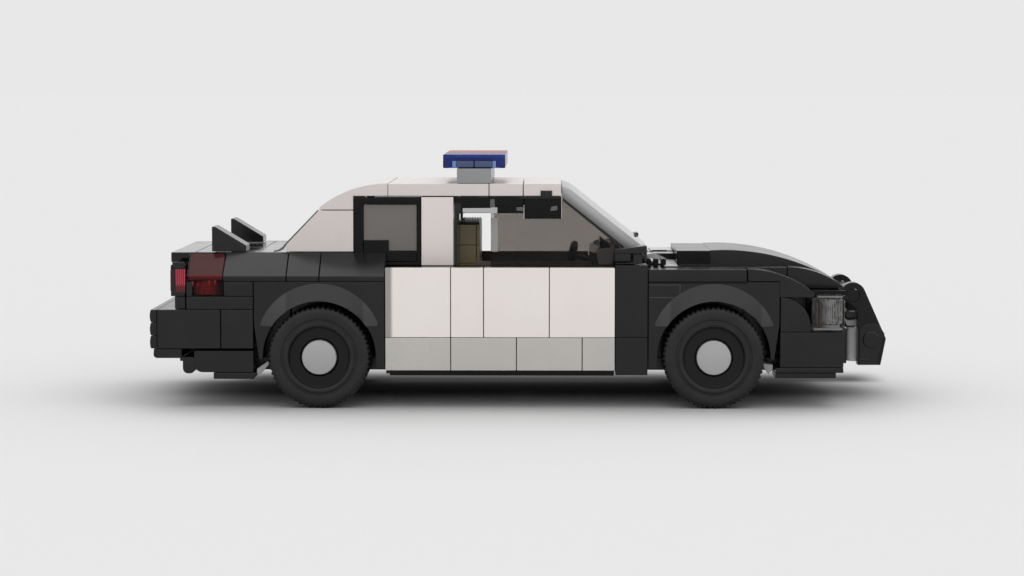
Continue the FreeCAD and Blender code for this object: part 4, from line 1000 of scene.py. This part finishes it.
# %% Pane edges, brackets and steps
pane_edges = Shape().block((-7.6, -5.9), (-21.82, -21.68), (37.6, 45.9))
pane_edges.piece("pane_edges", "pane_edge_plastic", "glass_smoke", edge=0.04)
brackets = Shape().blocks((-16.55, -15.3), (-23.9, -22.6), (44.9, 47.1))
brackets.blocks((-16.55, -16.1), (-23.9, -23.2), (34.4, 45.2))
brackets.blocks((4.6, 7.4), (-24.25, -23.9), (51.05, 52.7))
brackets.blocks((-0.6, 9.6), (-24.1, -23.9), (50.75, 51.35))
post_edge = [(-16.6, 34.4), (-15.9, 34.4), (-15.9, 46.6), (-14.9, 47.2), (-14.9, 49.6), (-16.6, 49.6)]
brackets.pair(post_edge, (-24.05, -23.9))
brackets.piece("window_brackets", "black_plastic", "body_black", edge=0.06)
stair = [(-38.85, 35.3), (-25.8, 35.3), (-25.8, 37.95), (-32.7, 37.95), (-32.7, 40.5), (-38.85, 40.5)]
Shape().pair(stair, (-23.8, -23.45)).piece("rear_window_steps", "painted_deep_shade_black", "body_black", edge=0.06)
print("stair rises", round(40.5 - 37.95, 2), "mm")

# %% [markdown]
# ## Tail lenses
# The tail lens is ribbed so that it sparkles. The ribs are small prisms side by side, on the car's side and round its
# corner on the back, over a darker backing in a black holder. Bump could draw them, but not their stepped outline.

# %% Tail lenses
RIB = 0.5
ROW = 0.9
lens = Shape()
for rib in range(5):
    left = -84.1 + rib * RIB
    lens.pair([(left, 28.3), (left + RIB * 0.5, 28.3), (left + RIB * 0.5, 33.9), (left, 33.9)], (-31.95, -31.0))
    for row in range(6):
        foot = 28.5 + row * ROW
        lens.pair([(left + 0.05, foot), (left + 0.2, foot), (left + 0.2, foot + 0.6), (left + 0.05, foot + 0.6)],
                  (-32.05, -31.9))
for rib in range(14):
    near = -31.6 + rib * RIB
    lens.blocks((-85.45, -84.1), (near, near + RIB * 0.55), (28.6, 33.6))
backing = Shape().blocks((-84.2, -81.95), (-31.5, -24.5), (28.0, 34.2))
backing.piece("tail_lens_backs", "wine_plastic", "lens_red", edge=0.08)
holder = Shape().blocks((-85.3, -84.1), (-32.0, -31.65), (27.9, 34.3))
holder.blocks((-85.3, -82.0), (-32.0, -31.3), (34.0, 34.6))
holder.blocks((-84.9, -82.0), (-32.0, -31.4), (34.5, 35.6))
holder.piece("tail_lens_holders", "black_plastic", "body_black", edge=0.08)
lens.piece("tail_lens_ribs", "ruby_plastic", "lens_red", stands_for=["tail_lenses"], edge=0.05)
print("tail lens ribs", RIB, "mm apart")

# %% [markdown]
# ## Inside the clear red corner bricks
# The corner bricks are clear, so the ring and post that every such brick has inside show through. A dark red wedge
# fills the sloping part, and a few bright slivers stand for the light that its edges catch.

# %% Corner brick insides
LAMP_X = -77.0
tubes = Shape()
for y in (-28.0, 28.0):
    tubes.turned([(2.4, 27.6), (3.3, 27.6), (3.3, 30.9), (2.4, 30.9)], (LAMP_X, y, 0), "z", 32)
    tubes.turned([(0, 31.6), (1.5, 31.6), (1.6, 31.4), (1.6, 27.7), (0, 27.7)], (LAMP_X, y, 0), "z", 24)
tubes.blocks((-81.0, -73.4), (-31.4, -30.6), (31.5, 32.2))
fill = Shape()
for side in (-1, 1):
    fill.beam([(31.35 * side, 31.3), (24.4 * side, 37.1), (24.4 * side, 31.3)], (-81.1, -73.0))
fill.piece("lamp_slope_fills", "port_plastic", "lens_red", edge=0.06)
SLIVERS = ((-80.3, 29.6, 31.0), (-79.0, 28.4, 30.4), (-77.4, 28.2, 28.8), (-76.2, 29.4, 31.2), (-74.8, 30.0, 31.2))
sparks = Shape()
for x, foot, top in SLIVERS:
    sparks.blocks((x, x + 0.45), (-31.5, -30.9), (foot, top))
sparks.piece("lamp_sparks", "ruby_plastic", "lens_red", edge=0.06)
tubes.piece("lamp_tubes", "wine_plastic", "lens_red", edge=0.08)
print("slivers in each corner brick", len(SLIVERS))

# %% [markdown]
# ## Headlamp insides
# Through the clear headlamp brick one sees a ring over a stud, pale floors above and below, and a dark lid on top.
# Blender's cylinder would do for the stud, but `stud` turns one with a softened rim and leaves no piece to join.

# %% Headlamp insides and lids
LAMP_RING = (75.2, 28.3)


def stud(shape, x, y, z, tall=STUD_TALL, radius=STUD_RADIUS):
    """One round stud with a softened rim, standing on z."""
    rim = 0.15
    profile = [(0, z + tall), (radius - rim, z + tall), (radius, z + tall - rim), (radius, z - 0.05), (0, z - 0.05)]
    return shape.turned(profile, (x, y, 0), "z", 32)


core = Shape()
for side in (-1, 1):
    ring_at = (LAMP_RING[0], LAMP_RING[1] * side, 0)
    core.turned([(2.3, 20.6), (3.0, 20.6), (3.0, 26.6), (2.3, 26.6)], ring_at, "z", 32)
    stud(core, ring_at[0], ring_at[1], 19.2, tall=1.3)
core.blocks((71.0, 78.0), (-31.3, -20.6), (19.1, 19.6))
core.blocks((72.0, 78.0), (-31.2, -20.6), (27.0, 27.5))
core.piece("headlamp_insides", "grey_plastic", "trim_grey", edge=0.08)
lids = Shape().pair([(70.6, 27.95), (78.6, 27.95), (78.6, 28.8), (70.6, 28.95)], (-31.8, -31.3))
lids.blocks((70.6, 78.6), (-31.3, -16.0), (27.95, 28.3))
lids.blocks((74.4, 77.6), (-29.6, -21.5), (20.6, 26.4))
lids.piece("headlamp_lids", "painted_deep_shade_black", "body_black", edge=0.08)
print("stud in the headlamp", STUD_RADIUS * 2, "mm wide")

# %% [markdown]
# ## Headlamp flutes
# Nine narrow flutes of uneven height stand behind the headlamp's front, and two amber ones behind its side marker.
# Their heights repeat every two and every three flutes, which looks irregular without being random.

# %% Headlamp flutes
FLUTE = 0.52
flutes = Shape()
for number in range(9):
    x = 73.3 + FLUTE * number
    flutes.blocks((x, x + 0.22), (-31.3, -30.7), (20.3 + 0.5 * (number % 3), 26.9 - 0.6 * (number % 2)))
flutes.piece("headlamp_flutes", "facet_plastic", "trim_grey", edge=0.06)
amber = Shape()
for x in (71.6, 72.5):
    amber.blocks((x, x + 0.5), (-30.9, -26.0), (20.4, 26.0))
amber.piece("headlamp_amber", "amber_plastic", "lens_red", edge=0.08)
print("flutes", FLUTE, "mm apart")

# %% [markdown]
# ## Light bar
# The bar is a clear blue half and a clear red half on a grey support. A tan bridge lies under its middle, and it and
# every inner piece take their place from the CAD box of the bar, so they follow it when its size changes.

# %% Bridge under the light bar
bar_low, bar_high = corners("light_bar_blue")
bar_mid = (bar_low[0] + bar_high[0]) / 2
bar_floor = bar_low[2]
bridge = Shape().block((bar_mid - 4.2, bar_mid + 4.2), (-21.0, 21.0), (bar_floor, bar_floor + 1.7))
bridge.piece("bar_bridge", "lining_plastic", "trim_grey", edge=0.1)
print("light bar", round(bar_high[0] - bar_low[0], 2), "mm long")

# %% [markdown]
# ## Inside the light bar
# Each half holds a small block of lamp lenses at each end, a slab under its top, and thin panes and slits in its
# side. Blue lies on the viewer's side and red on the far one, so one loop builds both with the side as its sign.

# %% Lenses, panes and slits of the light bar
BAR_HALVES = {"blue": -1, "red": 1}
BAR_SKIN = (22.85, 22.98)
LENS_STEP = 0.55


def bar_boxes(spans, side, y, low, high):
    """Boxes in one half of the bar: spans are from its middle along x, heights from its floor."""
    shape = Shape()
    for start, end in spans:
        across = sorted((y[0] * side, y[1] * side))
        shape.block((bar_mid + start, bar_mid + end), across, (bar_floor + low, bar_floor + high))
    return shape


for colour, side in BAR_HALVES.items():
    gem_look, slot = "gem_" + colour, "clear_" + colour
    gem = Shape()
    for end in (-1, 1):
        for step in range(3):
            x = bar_mid + end * (5.0 + step * LENS_STEP)
            top = bar_floor + 1.0 + 0.35 * (step % 2)
            gem.block((x - 0.2, x + 0.2), sorted((2.0 * side, 21.2 * side)), (bar_floor + 0.1, top))
    inside = (bar_low[0] + 0.25, bar_high[0] - 0.25)
    gem.block(inside, sorted((1.2 * side, 21.9 * side)), (bar_floor + 1.75, bar_high[2] - 0.5))
    gem.piece("bar_gems_" + colour, gem_look, slot, edge=0.06)
    for number, x in enumerate(((inside[0], bar_mid - 5.5), (bar_mid + 5.55, inside[1]))):
        ends = Shape().block(x, sorted((15.0 * side, 22.0 * side)), (bar_floor + 0.2, bar_floor + 1.8))
        ends.piece(f"bar_end{number}_{colour}", gem_look, slot, edge=0.05)
    panes = bar_boxes(((-4.35, -0.15), (0.15, 4.45)), side, BAR_SKIN, 0.2, 1.75)
    panes.piece("bar_panes_" + colour, "bar_pane_" + colour, slot, edge=0.03)
    slits = bar_boxes(((-5.35, -4.45), (4.55, 5.4)), side, BAR_SKIN, 0.1, 1.75)
    slits.piece("bar_slits_" + colour, "bar_slot_" + colour, slot, edge=0.03)
print("bar halves", list(BAR_HALVES))

# %% [markdown]
# ## Rear skirts
# Rounded plates hang under the rear bumper, one behind the other. Rounding a plate's underside is done in its outline
# with a quarter circle of points, because a bevel would round its upper edges as well.

# %% Rounded rear underplates
def corner_arc(x, z, radius, start, count=6):
    """Points of a quarter circle about (x, z), from a start angle in degrees."""
    turns = (math.radians(start + 90 * step / count) for step in range(count + 1))
    return [(x + radius * math.cos(turn), z + radius * math.sin(turn)) for turn in turns]


under = Shape()
under.pair(corner_arc(-88.9, 13.0, 0.9, 180) + [(-82.9, 12.1), (-82.9, 14.4), (-89.7, 14.4)], (-31.3, -12.0))
roller = corner_arc(-81.4, 9.6, 1.3, 180) + corner_arc(-81.0, 9.6, 1.3, 270) + [(-79.9, 12.3), (-82.7, 12.3)]
under.pair(roller, (-31.0, -13.0))
slab = [(-79.9, 13.9), (-79.9, 10.6)] + corner_arc(-77.9, 10.6, 2.0, 180) + [(-65.4, 8.6), (-65.4, 13.9)]
under.pair(slab, (-31.0, -12.0))
under.pair([(-75.2, 6.95), (-65.4, 6.95), (-64.4, 8.5), (-75.2, 8.5)], (-30.9, -13.0))
under.block((-86.0, -66.0), (-12.0, 12.0), (9.4, 14.3))
under.piece("rear_skirts", "black_plastic", "body_black", stands_for=["rear_underplates"], edge=0.14)
print("rear skirts reach down to", min(round(point[2], 2) for point in under.points), "mm")

# %% [markdown]
# ## Arch braces and liners
# A pale hook shows at the foot of each wheel arch, and a dark liner closes the rear arch towards the cabin. Without
# the liner one would see the floor through the arch, and a darker tyre would not hide that at other angles.

# %% Arch braces and liners
braces = Shape()
braces.pair([(-64.6, 8.2), (-63.9, 8.0), (-61.5, 10.6), (-61.9, 11.3), (-64.6, 9.4)], (-30.8, -24.0))
braces.pair([(60.2, 8.2), (61.2, 9.6), (61.2, 10.6), (59.0, 10.9), (58.6, 10.3)], (-30.8, -24.0))
braces.piece("arch_braces", "stone_plastic", "trim_grey", edge=0.12)
liners = Shape().blocks((-42.6, -38.6), (-20.5, -19.9), (11.4, 30.0))
liners.piece("arch_liners", "painted_deep_shade_black", "body_black", edge=0.1)
print("arch liners", round(-38.6 + 42.6, 1), "mm long")

# %% [markdown]
# ## Number plate and grille
# The back carries one blank number plate. The grille is five thin bars, one above the other. Their front edges are
# chamfered in the outline, since the small bevel of `soften` would hardly show on them.

# %% Number plate and grille bars
BAR_PITCH = 1.7
plate = Shape().block((-85.6, -85.3), (-9.0, 9.0), (26.4, 31.6))
plate.piece("blank_number_plates", "plate_plastic", "panel_white", edge=0.1)
grille_bars = Shape()
for bar in range(5):
    z = 19.7 + bar * BAR_PITCH
    grille_bars.prism([(78.5, z), (79.0, z + 0.15), (79.0, z + 0.75), (78.5, z + 0.9)], (-19.5, 19.5))
grille_bars.piece("grille_bars", "grey_plastic", "trim_grey", edge=0.08)
print("grille bars", BAR_PITCH, "mm apart")

# %% [markdown]
# ## Push bar fittings
# A grey arm ties each post of the push bar to the nose, a black plate lies on the side of each of its uprights, and
# a hook grips each arm. The side plate could be a straight block, but its outline follows the upright's own round
# foot with part of a circle, so that the two read as one moulding.

# %% Push bar fittings
arms = Shape()
arms.pair([(80.2, 20.8), (81.4, 19.9), (83.6, 20.1), (83.6, 18.5), (81.3, 18.5)], (-12.3, -10.0))
for side in (-1, 1):
    arms.turned([(0, 12.4), (0.35, 12.4), (0.42, 12.2), (0.42, 11.0), (0, 11.0)], (80.7, 0, 22.5), steps=16, flip=side)
arms.piece("push_bar_arms", "grey_plastic", "trim_grey", edge=0.12)
links = Shape()
lower_link = [(83.9, 9.3), (88.2, 9.05), (90.2, 16.8)] + corner_arc(86.9, 15.3, 4.1, 60, 8)[:6] + [(83.9, 18.2)]
links.pair(lower_link, (-16.2, -15.85))
for side in (-1, 1):
    links.turned([(0, 16.5), (1.95, 16.5), (2.15, 16.35), (2.15, 15.8), (0, 15.8)], (86.9, 0, 15.3), flip=side)
links.pair([(83.4, 10.2), (86.6, 10.0), (86.7, 10.5), (83.4, 10.7)], (-16.4, -16.1))
links.piece("push_bar_links", "black_plastic", "body_black", edge=0.12)
hook = [(81.0, 20.6), (83.6, 20.6), (84.4, 21.5), (83.8, 22.3), (82.6, 21.9), (81.2, 22.4), (80.6, 21.4)]
Shape().pair(hook, (-13.6, -12.1)).piece("push_bar_hooks", "black_plastic", "body_black", edge=0.12)
print("side plate of", len(lower_link), "points")

# %% [markdown]
# ## Floor
# The floor is one wide pale sheet with no gloss. Its colour is the background's, so with the light at a plain level
# it runs into the backdrop without a line, and only the car's shadow shows on it. Studio light that bounces under the
# car would take many more samples, so the material shapes that shadow: ambient occlusion darkens the paper near the
# car, `glow` lets the pale backdrop's light back in under the near side, and `lee` deepens the strip behind the far
# side. All of them follow the car's place, not the camera's.

# %% Floor
DARKEST = 0.13
CAR_HALF = 92.0
NEAR_STRIP = (-17.0, 12.0, 9.0)
GLOW = 0.8
LEE = 0.78
REACH = 25.0
place, shader = finish("paper_floor", Specular_IOR_Level=0.0, Roughness=1.0)
along, across = place.part(0), place.part(1)
paper = place.noise(0.002, 2.0).blend((0.733, 0.733, 0.733), (0.737, 0.737, 0.737))
open_sky = place.node("ShaderNodeAmbientOcclusion", {"samples": 12}, {"Distance": 150 * MM}, "AO")
openness = open_sky.node("ShaderNodeMapRange", None, {"Value": open_sky, "From Min": 0.0, "From Max": 0.96})
glow = across.near(*NEAR_STRIP) * along.near(0.0, CAR_HALF, 10.0)
contact = (glow * GLOW).blend(openness.blend(DARKEST, paper), paper)
lee = across.above(27.0, 5.0) * (1.0 - across.above(46.0, 12.0)) * along.near(9.0, 84.0, 6.0)
dress(shader, contact * (1.0 - LEE * lee).blend((0.0, 0.0, 0.0), (1.0, 1.0, 1.0)))
sheet = [(-REACH, -REACH, 0), (REACH, -REACH, 0), (REACH, REACH, 0), (-REACH, REACH, 0)]
floor_mesh = bpy.data.meshes.new("floor")
floor_mesh.from_pydata(sheet, [], [(0, 1, 2, 3)])
floor_mesh.materials.append(FINISHES["paper_floor"])
floor = bpy.data.objects.new("floor", floor_mesh)
bpy.context.scene.collection.objects.link(floor)
floor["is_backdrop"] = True
print("floor", REACH * 2, "m wide")

# %% [markdown]
# ## Finish
# Standard view keeps colours as they are written, where a filmic one would grey the white doors.

# %% Finish
bpy.context.scene.view_settings.view_transform = "Standard"
low, high = (list(corner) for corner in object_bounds())
print("visual size in mm", [round((b - a) * 1000, 2) for a, b in zip(low, high)])
